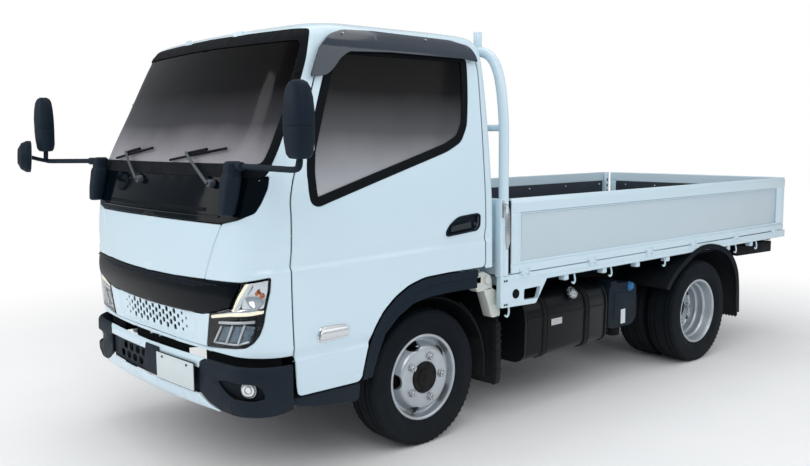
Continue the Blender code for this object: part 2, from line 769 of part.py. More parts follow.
DOOR_OUTLINE = [
    (-0.824, 0.436),
    (-0.470, 0.436),
    (-0.430, 0.600),
    (-0.402, 0.662),
    (-0.345, 0.742),
    (-0.267, 0.806),
    (-0.178, 0.852),
    (-0.075, 0.878),
    (0.082, 0.884),
    (0.352, 0.884),
    (0.356, 1.300),
    (0.362, 1.690),
    (0.366, 1.900),
    (0.345, 1.975),
    (0.290, 2.006),
    (-0.480, 2.006),
    (-0.560, 1.985),
    (-0.618, 1.930),
    (-0.715, 1.680),
    (-0.800, 1.430),
    (-0.838, 1.300),
    (-0.845, 1.015),
    (-0.838, 0.636),
]
WINDOW = [
    (-0.742, 1.330),
    (-0.733, 1.275),
    (-0.700, 1.258),
    (0.100, 1.485),
    (0.200, 1.530),
    (0.250, 1.610),
    (0.272, 1.750),
    (0.288, 1.930),
    (0.268, 1.968),
    (-0.490, 1.968),
    (-0.545, 1.950),
    (-0.585, 1.905),
    (-0.665, 1.700),
    (-0.738, 1.490),
]
ARCH_OUT = [
    (-0.464, 0.436),
    (-0.424, 0.593),
    (-0.396, 0.655),
    (-0.339, 0.735),
    (-0.262, 0.798),
    (-0.174, 0.844),
    (-0.074, 0.870),
    (0.082, 0.876),
    (0.345, 0.876),
]
ARCH_IN = [
    (-0.399, 0.436),
    (-0.360, 0.548),
    (-0.322, 0.633),
    (-0.244, 0.702),
    (-0.146, 0.755),
    (-0.044, 0.774),
    (0.082, 0.779),
    (0.345, 0.779),
]
SCREEN = [
    (-0.770, 1.425),
    (0.770, 1.425),
    (0.700, 1.985),
    (0.672, 2.010),
    (-0.672, 2.010),
    (-0.700, 1.985),
]
BACK_LIGHT = [(-0.45, 1.48), (0.45, 1.48), (0.45, 1.86), (-0.45, 1.86)]
GRILLE = [(-0.490, 0.650), (0.490, 0.650), (0.490, 0.800), (0.520, 0.900), (-0.520, 0.900), (-0.490, 0.800)]
PANEL = [(-0.506, 0.938), (0.506, 0.938), (0.640, 1.205), (-0.640, 1.205)]
COWL = [(-0.700, 1.235), (0.700, 1.235), (0.775, 1.330), (0.775, 1.405), (-0.775, 1.405), (-0.775, 1.330)]
LAMP = [
    (0.506, 0.645),
    (0.735, 0.645),
    (0.800, 0.730),
    (0.835, 0.850),
    (0.835, 0.965),
    (0.560, 0.975),
    (0.545, 0.905),
    (0.506, 0.800),
]

cab = hull()
cab_holes = [
    hull(CAB_WALL, 0.30),
    # Below the front panels and round the wheel
    block((-1, 1), (-1.3, -0.853), (0.3, 0.622)),
    block((-1, 1), (-0.468, 0.7), (0.3, 0.60)),
    prism("x", (-1, 1), ARCH_OUT[:-1] + [(0.7, 0.876), (0.7, 0.3), (-0.464, 0.3)]),
    block((-0.78, 0.78), (-0.9, 0.3), (0.30, 0.80)),
    prism("y", (-1.3, -0.45), grown(SCREEN, SEAT)),
    prism("y", (0.3, 0.5), grown(BACK_LIGHT, SEAT)),
    prism("y", (-1.3, -0.9), grown(GRILLE, SEAT)),
    prism("y", (-1.3, -0.9), grown(PANEL, SEAT)),
    prism("y", (-1.3, -0.9), grown(COWL, SEAT)),
]
for s in (1, -1):
    cab_holes.append(prism("x", (s * 0.55, s * 1.0), grown(DOOR_OUTLINE, DOOR_GAP)))
    cab_holes.append(prism("y", (-1.3, -0.8615), grown([(s * x, z) for x, z in LAMP], SEAT)))
cut(cab, *cab_holes)
for s in (1, -1):
    fuse(cab, block(sorted((s * 0.812, s * 0.836)), (0.3534, 0.372), (0.940, 1.000), name="striker"))
part("cab_shell", cab, "white_paint", "cab_tilt_axis", 30)

part("front_panel", skin(0.0, 0.03, prism("y", (-1.3, -0.9), PANEL)), "white_paint", "cab_tilt_axis", 30)
part("cowl_panel", skin(0.0, 0.03, prism("y", (-1.3, -0.9), COWL)), "gloss_black", "cab_tilt_axis", 30)
part(
    "windscreen",
    skin(0.008, 0.008 + GLASS, prism("y", (-1.3, -0.45), SCREEN)),
    "dark_glass",
    "cab_tilt_axis",
    30,
)
part(
    "rear_window",
    block((-0.45, 0.45), (CAB_BACK - 0.025, CAB_BACK - 0.020), (1.48, 1.86)),
    "dark_glass",
    "cab_tilt_axis",
)

# Grille with staggered rounded holes, the part's skilful feature
GRILLE_ROWS = 4
GRILLE_COLUMNS = 12
grille = skin(0.004, 0.016, prism("y", (-1.3, -0.9), GRILLE))
grille_holes = []
for row in range(GRILLE_ROWS):
    z = 0.685 + 0.056 * row
    count = GRILLE_COLUMNS - row % 2
    for i in range(count):
        x = (i - (count - 1) / 2) * 0.078
        wide, high = 0.029, 0.017
        hole = [
            (x - wide, z),
            (x - wide * 0.6, z - high),
            (x + wide * 0.6, z - high),
            (x + wide, z),
            (x + wide * 0.6, z + high),
            (x - wide * 0.6, z + high),
        ]
        grille_holes.append(hole)
bm = bmesh.new()
for hole in grille_holes:
    ring = [bm.verts.new((a, -1.3, b)) for a, b in hole]
    face = bm.faces.new(ring)
    made = bmesh.ops.extrude_face_region(bm, geom=[face])["geom"]
    bmesh.ops.translate(
        bm, vec=(0, 0.4, 0), verts=[v for v in made if isinstance(v, bmesh.types.BMVert)]
    )
cut(grille, from_bmesh(bm, "grille_holes"))
part("grille", grille, "white_paint", "cab_tilt_axis", 30)

both_sides(
    "headlamp",
    skin(-0.001, 0.038, prism("y", (-1.3, -0.862), LAMP)),
    "lamp_glass",
    "cab_tilt_axis",
    30,
)

# Wheel arch trim, under the door's lower edge
arch = prism("x", (0.7903, 0.850), [(-0.4635, 0.4365)] + shifted(ARCH_OUT[1:], 0.0, -0.0005) + ARCH_IN[::-1])
both_sides("arch_trim", arch, "black_plastic", "cab_tilt_axis")

# Cab floor: toe board, foot wells, seat base, engine cover and steps
FLOOR = [
    (-1.040, 0.990),
    (-1.020, 0.960),
    (-0.950, 0.700),
    (-0.470, 0.700),
    (-0.440, 0.790),
    (0.378, 0.790),
    (0.378, 0.820),
    (-0.465, 0.820),
    (-0.495, 0.730),
    (-0.935, 0.730),
    (-1.000, 0.985),
]
floor = prism("x", (-0.790, 0.790), FLOOR)
floor_tools = [block((-0.32, 0.32), (-0.78, 0.378), (0.67, 1.003), 0.0)]
floor_cuts = [block((-0.295, 0.295), (-0.755, 0.50), (0.40, 0.975), 0.0)]
for s in (1, -1):
    floor_tools.append(block(sorted((s * 0.60, s * 0.79)), (-0.815, -0.500), (0.385, 0.425)))
    floor_tools.append(block(sorted((s * 0.60, s * 0.62)), (-0.815, -0.500), (0.385, 0.715)))
    floor_tools.append(
        prism(
            "x",
            (s * 0.356, s * 0.400),
            [(-0.945, 0.725), (-0.990, 0.66), (-0.975, 0.61), (-0.92, 0.605), (-0.84, 0.715)],
        )
    )
fuse(floor, *floor_tools)
keep_inside(floor, hull(CAB_WALL + 0.0005, 0.30))
cut(floor, *floor_cuts, rod((-0.5, TILT_Y, TILT_Z), (0.5, TILT_Y, TILT_Z), 0.0185, 16))
part("cab_floor", floor, "chassis_black", "cab_tilt_axis")

# Inside the cab
dash = prism(
    "x",
    (-0.780, 0.780),
    [(-0.960, 1.010), (-0.700, 1.010), (-0.660, 1.120), (-0.720, 1.230), (-0.930, 1.270), (-0.975, 1.200)],
)
keep_inside(dash, hull(CAB_WALL + 0.0005, 0.30))
cut(dash, rod((0.40, -0.80, 1.0767), (0.40, -0.490, 1.335), 0.0224, 10))
part("dashboard", dash, "black_plastic", "cab_tilt_axis")
seat = prism(
    "x",
    (0.330, 0.730),
    [(-0.300, 0.8205), (0.320, 0.8205), (0.345, 1.70), (0.260, 1.72), (0.170, 1.24), (-0.300, 1.20)],
    0.012,
)
both_sides("seat", seat, "seat_cloth", "cab_tilt_axis")
column = rod((0.40, -0.70, 1.16), (0.40, -0.490, 1.335), 0.022, 10)
wheel_parts = []
tilt = Vector((0, 0.210, 0.175)).normalized()
across = Vector((1, 0, 0))
upward = tilt.cross(across)
hub = Vector((0.40, -0.490, 1.335))
spin = Matrix((across, upward, tilt)).transposed().to_4x4()
bpy.ops.mesh.primitive_torus_add(major_segments=24, minor_segments=6, major_radius=0.19, minor_radius=0.013)
steer_ring = bpy.context.object
for holder in list(steer_ring.users_collection):
    holder.objects.unlink(steer_ring)
steer_ring.data.transform(Matrix.Translation(hub) @ spin)
ring_data = steer_ring.data
bpy.data.objects.remove(steer_ring, do_unlink=True)
steer_ring = raw(ring_data, "steer_ring")
spoke = prism("z", (-0.008, 0.008), [(-0.19, -0.03), (0.19, -0.03), (0.19, 0.03), (-0.19, 0.03)])
spoke.data.transform(Matrix.Translation(hub) @ spin)
part("steering_wheel", fuse(spoke, steer_ring, column), "black_plastic", "cab_tilt_axis")

# Doors and their glass
door = skin(0.0, CAB_WALL, prism("x", (0.55, 1.0), DOOR_OUTLINE))
cut(door, prism("x", (0.5, 1.05), WINDOW))
both_sides("door", door, "white_paint", ("door_left_axis", "door_right_axis"), 30)
pane = skin(0.012, 0.012 + GLASS, prism("x", (0.55, 1.0), grown(WINDOW, -TOUCH)))
both_sides("door_glass", pane, "dark_glass", ("door_left_axis", "door_right_axis"), 30)

# Mirrors on tube arms, with a round under-mirror on the right arm only
def mirror(s, elbow, head, extra=()):
    arm = tube([(s * 0.66, -0.985, 1.428), (s * 0.74, -1.03, 1.432), elbow, (elbow[0], elbow[1], 1.50)], 0.013, 2, bend=0.05)
    base = block(sorted((s * 0.695, s * 0.745)), (-1.045, -0.985), (1.330, 1.448), 0.010)
    x, y, z = head
    case = block((x - 0.052, x + 0.052), (y - 0.052, y + 0.052), (z - 0.150, z + 0.150), 0.030)
    return fuse(case, arm, base, *extra)


left = mirror(1, (1.120, -1.005, 1.432), (1.146, -1.003, 1.625))
cut(left, hull(-0.0005))
part("mirror_left", left, "black_plastic", "cab_tilt_axis")
round_arm = tube([(-1.090, -1.180, 1.436), (-1.155, -1.268, 1.442)], 0.010, 1)
round_head = rod((-1.150, -1.250, 1.462), (-1.165, -1.300, 1.466), 0.088, 16, 0.072)
right = mirror(-1, (-1.090, -1.180, 1.436), (-1.078, -1.178, 1.640), (round_arm, round_head))
cut(right, hull(-0.0005))
part("mirror_right", right, "black_plastic", "cab_tilt_axis")

GUSSET = [(0.470, 0.648), (0.780, 0.648), (0.860, 0.768), (0.860, 0.785), (0.470, 0.785)]
# Bed: sills on the rails, cross bearers, floor and side rails
bed = block((-BED_HALF, BED_HALF), (BED_FRONT, BED_BACK), FLOOR_Z)
BED_EDGE = BED_HALF + 0.034
bed_tools = [block((-BED_EDGE, BED_EDGE), (0.470, BED_FRONT + 0.005), (0.750, DECK_Z))]
RAIL_SECTION = [
    (BED_HALF - 0.026, RAIL_LOW),
    (BED_HALF + 0.032, RAIL_LOW),
    (BED_HALF + 0.032, 0.812),
    (BED_HALF, 0.812),
    (BED_HALF, 0.825),
    (BED_HALF - 0.026, 0.825),
]
for s in (1, -1):
    sill = block(sorted((s * 0.285, s * 0.345)), (0.475, BED_BACK - 0.035), (RAIL_Z[1] + TOUCH, 0.760))
    bed_tools.append(sill)
    bed_tools.append(prism("x", (s * BED_HALF, s * (BED_HALF + 0.036)), GUSSET))
    side = prism(
        "y",
        (BED_FRONT, BED_BACK + 0.02),
        [(s * x, z) for x, z in RAIL_SECTION],
    )
    bed_tools.append(side)
for i in range(GATE_HINGES):
    y = GATE_Y[0] + 0.20 + i * (GATE_Y[1] - GATE_Y[0] - 0.40) / (GATE_HINGES - 1)
    x = (i / (GATE_HINGES - 1) - 0.5) * 2 * (BED_HALF - 0.156)
    for s in (1, -1):
        at = s * GATE_AXIS_X
        bed_tools.append(rod((at, y - 0.03, GATE_AXIS_Z), (at, y + 0.03, GATE_AXIS_Z), PIN_R, 12))
        lug = block(sorted((at - s * 0.015, at + s * 0.003)), (y - 0.03, y + 0.03), (0.788, 0.811))
        bed_tools.append(lug)
    if i in (0, 2, 4):
        bed_tools.append(rod((x - 0.03, TAIL_AXIS_Y, GATE_AXIS_Z), (x + 0.03, TAIL_AXIS_Y, GATE_AXIS_Z), PIN_R, 12))
        bed_tools.append(block((x - 0.03, x + 0.03), (BED_BACK + 0.010, TAIL_AXIS_Y + 0.003), (0.788, 0.811)))
BEARERS = 8
for i in range(BEARERS):
    y = BED_FRONT + 0.055 + i * (BED_BACK - BED_FRONT - 0.145) / (BEARERS - 1)
    bearer = block((0.016 - BED_HALF, BED_HALF - 0.016), (y - 0.03, y + 0.03), (0.755, 0.805))
    bed_tools.append(bearer)
tail_rail = BED_BACK - 0.02, BED_BACK + 0.02
bed_tools.append(block((0.006 - BED_HALF, BED_HALF - 0.006), tail_rail, (RAIL_LOW, 0.812)))
for s in (1, -1):
    post_x = sorted((s * (BED_HALF - 0.034), s * BED_HALF))
    post = block(post_x, (BED_BACK - 0.045, BED_BACK - 0.002), (0.81, GATE_Z[1]), 0.004)
    bed_tools.append(post)
part("bed_floor", fuse(bed, *bed_tools), "floor_grey")

# Headboard with its guard frame, on the bed's front edge
HOOP = (
    (BED_HALF + 0.022, 0.515, DECK_Z + TOUCH),
    (BED_HALF + 0.022, 0.515, 1.60),
    (BED_HALF - 0.031, 0.510, 1.955),
    (BED_HALF - 0.126, 0.508, 2.010),
)
guard = tube(list(HOOP) + [(-x, y, z) for x, y, z in HOOP[::-1]], 0.028, 2, bend=0.06)
board_x = -BED_HALF - 0.009, BED_HALF + 0.009
guard_parts = [block(board_x, (0.505, 0.535), (DECK_Z + TOUCH, GATE_Z[1]))]
for s in (1, -1):
    stub_x = s * (BED_HALF - 0.166)
    guard_parts.append(rod((stub_x, 0.508, 2.00), (stub_x, 0.508, 2.11), 0.022, 10))
    upright_x = s * BED_HALF / 2
    guard_parts.append(rod((upright_x, 0.512, 1.20), (upright_x, 0.512, 2.01), 0.016, 8))
cross_x = BED_HALF + 0.014
guard_parts.append(rod((-cross_x, 0.512, 1.60), (cross_x, 0.512, 1.60), 0.016, 8))
fuse(guard, *guard_parts)
part("headboard_frame", guard, "white_paint", soft=40)

# Rear corner posts and the rear under-run bar with lamps
BAR_Y = RAIL_Y[1] + 0.010
BAR_Z = RAIL_Z[0] - 0.070, RAIL_Z[0] - 0.002
bar = block((-0.78, 0.78), (BAR_Y - 0.030, BAR_Y + 0.030), BAR_Z, 0.008)
bar_tools = []
for s in (1, -1):
    arm_x = sorted((s * 0.283, s * 0.347))
    bar_tools.append(block(arm_x, (RAIL_Y[1] + SEAT, BAR_Y + 0.015), (BAR_Z[0] + 0.020, RAIL_Z[1] - 0.005)))
    lamp_x = sorted((s * 0.48, s * 0.76))
    lamp_z = BAR_Z[0] + 0.050, RAIL_Z[1] - 0.020
    bar_tools.append(block(lamp_x, (BAR_Y - 0.020, BAR_Y + 0.035), lamp_z, 0.008))
part("rear_bar_and_lamps", fuse(bar, *bar_tools), "chassis_black")

# Gates: framed drop sides hinged along their lower edge
RECESS_Z = GATE_Z[0] + 0.075, GATE_Z[1] - 0.085
RECESS = 0.008
STILE = 0.060
side_gate = block((GATE_OUT - GATE_THICK, GATE_OUT), GATE_Y, GATE_Z, 0.003)
side_recess = block(
    (GATE_OUT - RECESS, GATE_OUT + 0.02), (GATE_Y[0] + STILE, GATE_Y[1] - STILE), RECESS_Z
)
gate_joints = "gate_left_axis", "gate_right_axis"
both_sides("side_gate", cut(side_gate, side_recess), "white_paint", gate_joints)
TAIL_HALF = BED_HALF - 0.041
TAIL_Y = BED_BACK + 0.004, BED_BACK + 0.004 + GATE_THICK
tail = block((-TAIL_HALF, TAIL_HALF), TAIL_Y, GATE_Z, 0.003)
tail_recess = block((STILE - TAIL_HALF, TAIL_HALF - STILE), (TAIL_Y[1] - RECESS, TAIL_Y[1] + 0.02), RECESS_Z)
part("tail_gate", cut(tail, tail_recess), "white_paint", "gate_rear_axis")
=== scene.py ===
import json
import math

import bmesh
import bpy
from mathutils import Matrix, Vector

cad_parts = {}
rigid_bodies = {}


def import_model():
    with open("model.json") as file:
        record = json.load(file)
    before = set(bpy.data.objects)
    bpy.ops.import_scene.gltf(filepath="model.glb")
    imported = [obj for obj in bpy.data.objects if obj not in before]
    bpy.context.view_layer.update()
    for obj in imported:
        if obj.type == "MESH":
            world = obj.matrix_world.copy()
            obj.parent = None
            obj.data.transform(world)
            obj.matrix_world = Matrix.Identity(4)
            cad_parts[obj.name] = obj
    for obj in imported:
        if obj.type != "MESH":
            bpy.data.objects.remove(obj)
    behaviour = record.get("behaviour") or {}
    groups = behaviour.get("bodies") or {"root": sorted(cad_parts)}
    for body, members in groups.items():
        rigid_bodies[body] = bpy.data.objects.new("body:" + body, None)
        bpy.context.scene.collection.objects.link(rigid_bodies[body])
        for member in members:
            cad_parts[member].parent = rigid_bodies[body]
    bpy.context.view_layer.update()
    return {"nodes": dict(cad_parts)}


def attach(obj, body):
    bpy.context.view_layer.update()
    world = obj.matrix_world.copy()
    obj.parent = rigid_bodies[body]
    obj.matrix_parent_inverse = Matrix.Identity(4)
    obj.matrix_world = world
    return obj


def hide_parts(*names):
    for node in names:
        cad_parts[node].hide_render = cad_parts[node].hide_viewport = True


for leftover in list(bpy.data.objects):
    bpy.data.objects.remove(leftover)
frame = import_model()
AXLE_Y = -1.221  # the front axle's place in the frame
HUB_Z = 0.348  # height of the wheels' middle
WHEELBASE = 2.505

# Camera, at the photograph's place: fitted position, turn, tilt and roll
CAMERA_AT = 3.867, -4.103, 1.553
CAMERA_TURN, CAMERA_TILT, CAMERA_ROLL = 48.43, 6.34, -0.42
CAMERA_LENS = 38.17
lens = bpy.data.cameras.new("camera")
lens.lens = CAMERA_LENS
camera = bpy.data.objects.new("camera", lens)
bpy.context.scene.collection.objects.link(camera)
turn = Matrix.Rotation(math.radians(CAMERA_TURN), 4, "Z")
tilt = Matrix.Rotation(math.radians(90 - CAMERA_TILT), 4, "X")
roll = Matrix.Rotation(math.radians(CAMERA_ROLL), 4, "Z")
camera.matrix_world = Matrix.Translation(CAMERA_AT) @ turn @ tilt @ roll
bpy.context.scene.camera = camera
bpy.context.scene.view_settings.view_transform = "Standard"


# Light, backdrop and materials
def linear(code):
    """A hex colour as linear values."""
    parts = [int(code[i : i + 2], 16) / 255 for i in (0, 2, 4)]
    return [c / 12.92 if c <= 0.04045 else ((c + 0.055) / 1.055) ** 2.4 for c in parts] + [1.0]


def node(tree, kind, inputs=None, stops=None, **settings):
    """Adds a shader node. Inputs are values or the outputs that feed them, and stops are a ramp's."""
    made = tree.nodes.new("ShaderNode" + kind)
    for name, value in settings.items():
        setattr(made, name, value)
    for name, value in (inputs or {}).items():
        if isinstance(value, bpy.types.NodeSocket):
            tree.links.new(value, made.inputs[name])
        else:
            made.inputs[name].default_value = value
    if stops:
        while len(made.color_ramp.elements) < len(stops):
            made.color_ramp.elements.new(0.5)
        for element, (place, code) in zip(made.color_ramp.elements, stops):
            element.position = place
            element.color = linear(code)
    return made.outputs


def blank(name):
    made = bpy.data.materials.new(name)
    made.use_nodes = True
    made.node_tree.nodes.clear()
    return made, made.node_tree


# Backdrop: pale studio light, and white behind the truck and in its glass
world = bpy.data.worlds.new("studio")
bpy.context.scene.world = world
world.use_nodes = True
world.node_tree.nodes.clear()
sky = node(world.node_tree, "TexCoord")["Generated"]
up = node(world.node_tree, "SeparateXYZ", {0: sky})["Z"]
tone = node(world.node_tree, "ValToRGB", {"Fac": up}, [(0.0, "C3CAD2"), (0.25, "E2E8EE"), (0.7, "FFFFFF")])[0]
dim = node(world.node_tree, "Background", {"Color": tone, "Strength": 0.62})[0]
white = node(world.node_tree, "Background", {"Color": linear("FFFFFF"), "Strength": 1.0})[0]
ray = node(world.node_tree, "LightPath")["Is Camera Ray"]
shown = node(world.node_tree, "MixShader", {0: ray, 1: dim, 2: white})[0]
node(world.node_tree, "OutputWorld", {"Surface": shown})

# Soft boxes. Rows: place, point it faces, size, power in watts
for name, place, aim, size, power in (
    ("key", (5.5, -5.0, 6.0), (0, -0.8, 0.9), 5.0, 150),
    ("side", (6.0, 2.0, 4.0), (0, 0.6, 0.8), 4.0, 60),
    ("front", (-2.5, -6.5, 3.5), (0, -1.8, 1.0), 4.0, 110),
    ("top", (0, 0, 7.5), (0, 0, 0), 6.0, 130),
):
    lamp = bpy.data.lights.new(name, "AREA")
    lamp.shape = "SQUARE"
    lamp.size = size
    lamp.energy = power
    holder = bpy.data.objects.new(name, lamp)
    bpy.context.scene.collection.objects.link(holder)
    aimed = (Vector(place) - Vector(aim)).to_track_quat("Z", "Y").to_matrix().to_4x4()
    holder.matrix_world = Matrix.Translation(place) @ aimed

# Floor: pale, and white where no shadow falls on it
floor_mesh = bpy.data.meshes.new("floor")
bm = bmesh.new()
bmesh.ops.create_grid(bm, x_segments=1, y_segments=1, size=60)
bm.to_mesh(floor_mesh)
bm.free()
floor = bpy.data.objects.new("floor", floor_mesh)
bpy.context.scene.collection.objects.link(floor)
made, tree = blank("studio_floor")
place = node(tree, "TexCoord")["Object"]
speck = node(tree, "TexNoise", {"Vector": place, "Scale": 2.0, "Detail": 3.0})["Fac"]
pale = node(tree, "Mix", {"Factor": speck, 6: linear("F4F5F6"), 7: linear("FAFAFA")}, data_type="RGBA")[2]
matt = node(tree, "BsdfPrincipled", {"Base Color": pale, "Roughness": 0.9, "Specular IOR Level": 0.1})[0]
paper = node(tree, "Emission", {"Color": linear("FFFFFF"), "Strength": 1.0})[0]
reach = node(tree, "VectorMath", {0: place}, operation="LENGTH")["Value"]
far = node(tree, "MapRange", {"Value": reach, "From Min": 2.6, "From Max": 5.5}, interpolation_type="SMOOTHSTEP")[0]
seen = node(tree, "Math", {0: far, 1: node(tree, "LightPath")["Is Camera Ray"]}, operation="MULTIPLY")[0]
surface = node(tree, "MixShader", {0: seen, 1: matt, 2: paper})[0]
node(tree, "OutputMaterial", {"Surface": surface})
floor_mesh.materials.append(made)


# What each finish is, and its columns: record slot, two colours that drift into each other, size of the drift in mm,
# lowest and highest roughness, metallic, coat, grain size and depth in mm, share of road dust low down,
# strength of the plain reflection
FINISHES = {
    # Baked enamel on pressed steel: cool white, glossy, faint orange peel
    "white_enamel": ("white_paint", "D0E6F1", "CDE3EF", 700, 0.24, 0.27, 0, 0.4, 8, 0.012, 0.08, 0.5),
    # Painted aluminium gate sheet: flatter and greyer than the pressed steel
    "gate_enamel": ("white_paint", "C6D6DF", "BFD0DA", 260, 0.34, 0.42, 0, 0.2, 6, 0.02, 0.05, 0.5),
    # Grained polypropylene mouldings: blue-black, dull, scuffed lighter
    "grained_plastic": ("black_plastic", "131E29", "192531", 60, 0.45, 0.6, 0, 0, 1.6, 0.12, 0.15, 0.1),
    # Piano-black acrylic: deep and mirror smooth
    "piano_black": ("gloss_black", "01070D", "030C13", 200, 0.07, 0.11, 0, 0.02, 0, 0, 0.03, 0.06),
    # Sprayed chassis paint with road film
    "chassis_paint": ("chassis_black", "080A0E", "101318", 90, 0.5, 0.7, 0.1, 0, 5, 0.15, 0.25, 0.1),
    # EPDM rubber seals
    "seal_rubber": ("black_plastic", "080C11", "0C1116", 40, 0.6, 0.75, 0, 0, 2, 0.04, 0.1, 0.1),
    # Natural-rubber flaps
    "flap_rubber": ("mud_flap_rubber", "0A1118", "111921", 70, 0.55, 0.8, 0, 0, 3, 0.15, 0.3, 0.1),
    # Carbon-black tyre rubber
    "tyre_rubber": ("tyre_rubber", "0A1118", "0F171F", 45, 0.62, 0.8, 0, 0, 2, 0.1, 0.1, 0.1),
    # Silver wheel lacquer over steel
    "wheel_silver": ("silver_steel", "C2C9CF", "ADB5BC", 60, 0.24, 0.36, 0.75, 0.2, 3, 0.02, 0.1, 0.5),
    # Zinc-plated and polished fittings
    "bright_steel": ("silver_steel", "C9CCCF", "A9ADB1", 25, 0.16, 0.3, 0.95, 0, 2, 0.02, 0.1, 0.5),
    # Sand-cast iron, oiled and dusty
    "cast_iron": ("cast_iron", "191B1E", "24231F", 50, 0.55, 0.8, 0.4, 0, 3, 0.35, 0.4, 0.12),
    # Satin tank paint
    "tank_paint": ("tank_paint", "050A0E", "0A1015", 140, 0.26, 0.38, 0.1, 0.06, 7, 0.03, 0.1, 0.12),
    # Blow-moulded polyethylene, milky and waxy
    "milky_plastic": ("milky_plastic", "D9DDD8", "C6CCC6", 70, 0.35, 0.5, 0, 0, 4, 0.08, 0.3, 0.5),
    # Checkered and painted steel floor, worn by cargo
    "deck_paint": ("floor_grey", "4A5055", "5C6165", 120, 0.45, 0.7, 0.2, 0, 9, 0.2, 0, 0.22),
    # Moulded dashboard and trim
    "cab_trim": ("black_plastic", "2B2F34", "32373D", 80, 0.55, 0.68, 0, 0, 1.5, 0.1, 0, 0.22),
    # Blue screw cap in polypropylene
    "cap_blue": ("black_plastic", "1D6FA8", "2A7DB5", 20, 0.35, 0.45, 0, 0, 1, 0.05, 0.1, 0.5),
    # Smoked acrylic visor
    "smoked_acrylic": ("dark_glass", "1C2836", "243242", 150, 0.08, 0.14, 0, 0.35, 0, 0, 0.1, 0.4),
    # Frosted clear lamp lens over its reflector
    "frosted_lens": ("lamp_glass", "DFE3E6", "C8CDD2", 12, 0.08, 0.2, 0.4, 0.6, 3, 0.1, 0.1, 0.5),
    # Satin grey wiper arm paint
    "wiper_grey": ("black_plastic", "3D444B", "4A525A", 30, 0.35, 0.5, 0.2, 0.1, 3, 0.03, 0.1, 0.4),
    # Woven seat cloth, dark grey
    "seat_cloth": ("seat_cloth", "3B4148", "4A5058", 3, 0.8, 0.95, 0, 0, 1.1, 0.35, 0, 0.3),
    # Resin-faced plywood liner
    "liner_board": ("floor_grey", "232B35", "2D3641", 160, 0.45, 0.62, 0, 0, 3, 0.06, 0, 0.3),
    # Amber bulb glass
    "amber": ("lamp_glass", "F0791A", "E06A10", 20, 0.15, 0.25, 0, 0.5, 0, 0, 0, 0.5),
    # Vacuum-metallised reflector
    "chrome": ("lamp_glass", "E6E9EC", "D5D9DD", 20, 0.06, 0.12, 0.95, 0, 0, 0, 0, 0.5),
    # Metallised cells under a clear cover, their light and dark streaks a painted reflection of the dark surroundings
    "cell_mirror": ("lamp_glass", "7E93A3", "2A3845", 14, 0.08, 0.25, 0.7, 0.4, 0, 0, 0, 0.5),
    # Acrylic light guide, warm white
    "light_guide": ("lamp_glass", "FBF6E4", "F4EFDC", 30, 0.25, 0.3, 0, 0.6, 0, 0, 0, 0.5),
    # Red tail lens
    "red_lens": ("lamp_glass", "8E0F12", "A11316", 30, 0.12, 0.2, 0, 0.8, 4, 0.1, 0.2, 0.5),
    # Blank reflective plate
    "plate_sheet": ("white_paint", "D3DEE0", "CAD6D9", 90, 0.35, 0.45, 0, 0.3, 1, 0.01, 0.1, 0.5),
}
MATERIALS = {}
DUST = "6E6A62"
DUST_TOP, DUST_FULL = 0.75, 0.15  # heights where road dust starts and where it is thickest


def surfaced(name, made, inputs):
    """Gives a material its surface and keeps it under its name."""
    shader = node(made.node_tree, "BsdfPrincipled", inputs)[0]
    node(made.node_tree, "OutputMaterial", {"Surface": shader})
    MATERIALS[name] = made
    return made


def finish(name):
    """The material of a named finish, made once."""
    if name in MATERIALS:
        return MATERIALS[name]
    slot, one, two, drift, smooth, rough, metal, coat, grain, depth, dust, shine = FINISHES[name]
    made, tree = blank(name)
    place = node(tree, "TexCoord")["Object"]
    cloud = node(tree, "TexNoise", {"Vector": place, "Scale": 1000 / drift, "Detail": 5.0, "Roughness": 0.6})
    mixed = node(tree, "Mix", {"Factor": cloud["Fac"], 6: linear(one), 7: linear(two)}, data_type="RGBA")[2]
    spread = {"Value": cloud["Fac"], "From Min": 0.3, "From Max": 0.7, "To Min": smooth, "To Max": rough}
    level = node(tree, "MapRange", spread)[0]
    if dust:
        # Road dust gathers in patches below the sills
        height = node(tree, "SeparateXYZ", {0: place})["Z"]
        fall = {"Value": height, "From Min": DUST_TOP, "From Max": DUST_FULL, "To Min": 0.0, "To Max": dust}
        low = node(tree, "MapRange", fall)[0]
        patch = node(tree, "TexNoise", {"Vector": place, "Scale": 9.0, "Detail": 7.0, "Roughness": 0.7})
        share = node(tree, "Math", {0: low, 1: patch["Fac"]}, operation="MULTIPLY")[0]
        mixed = node(tree, "Mix", {"Factor": share, 6: mixed, 7: linear(DUST)}, data_type="RGBA")[2]
        level = node(tree, "MapRange", {"Value": share, "To Min": level, "To Max": 0.85})[0]
    inputs = {"Base Color": mixed, "Roughness": level, "Metallic": metal, "Coat Weight": coat}
    inputs["Specular IOR Level"] = shine
    if depth:
        grains = node(tree, "TexNoise", {"Vector": place, "Scale": 1000 / grain, "Detail": 3.0})["Fac"]
        inputs["Normal"] = node(tree, "Bump", {"Height": grains, "Strength": 0.6, "Distance": depth / 1000})[0]
    if name == "light_guide":
        inputs["Emission Color"] = linear("FFF3D0")
        inputs["Emission Strength"] = 0.55
    if coat:
        inputs["Coat Roughness"] = 0.08
    return surfaced(name, made, inputs)


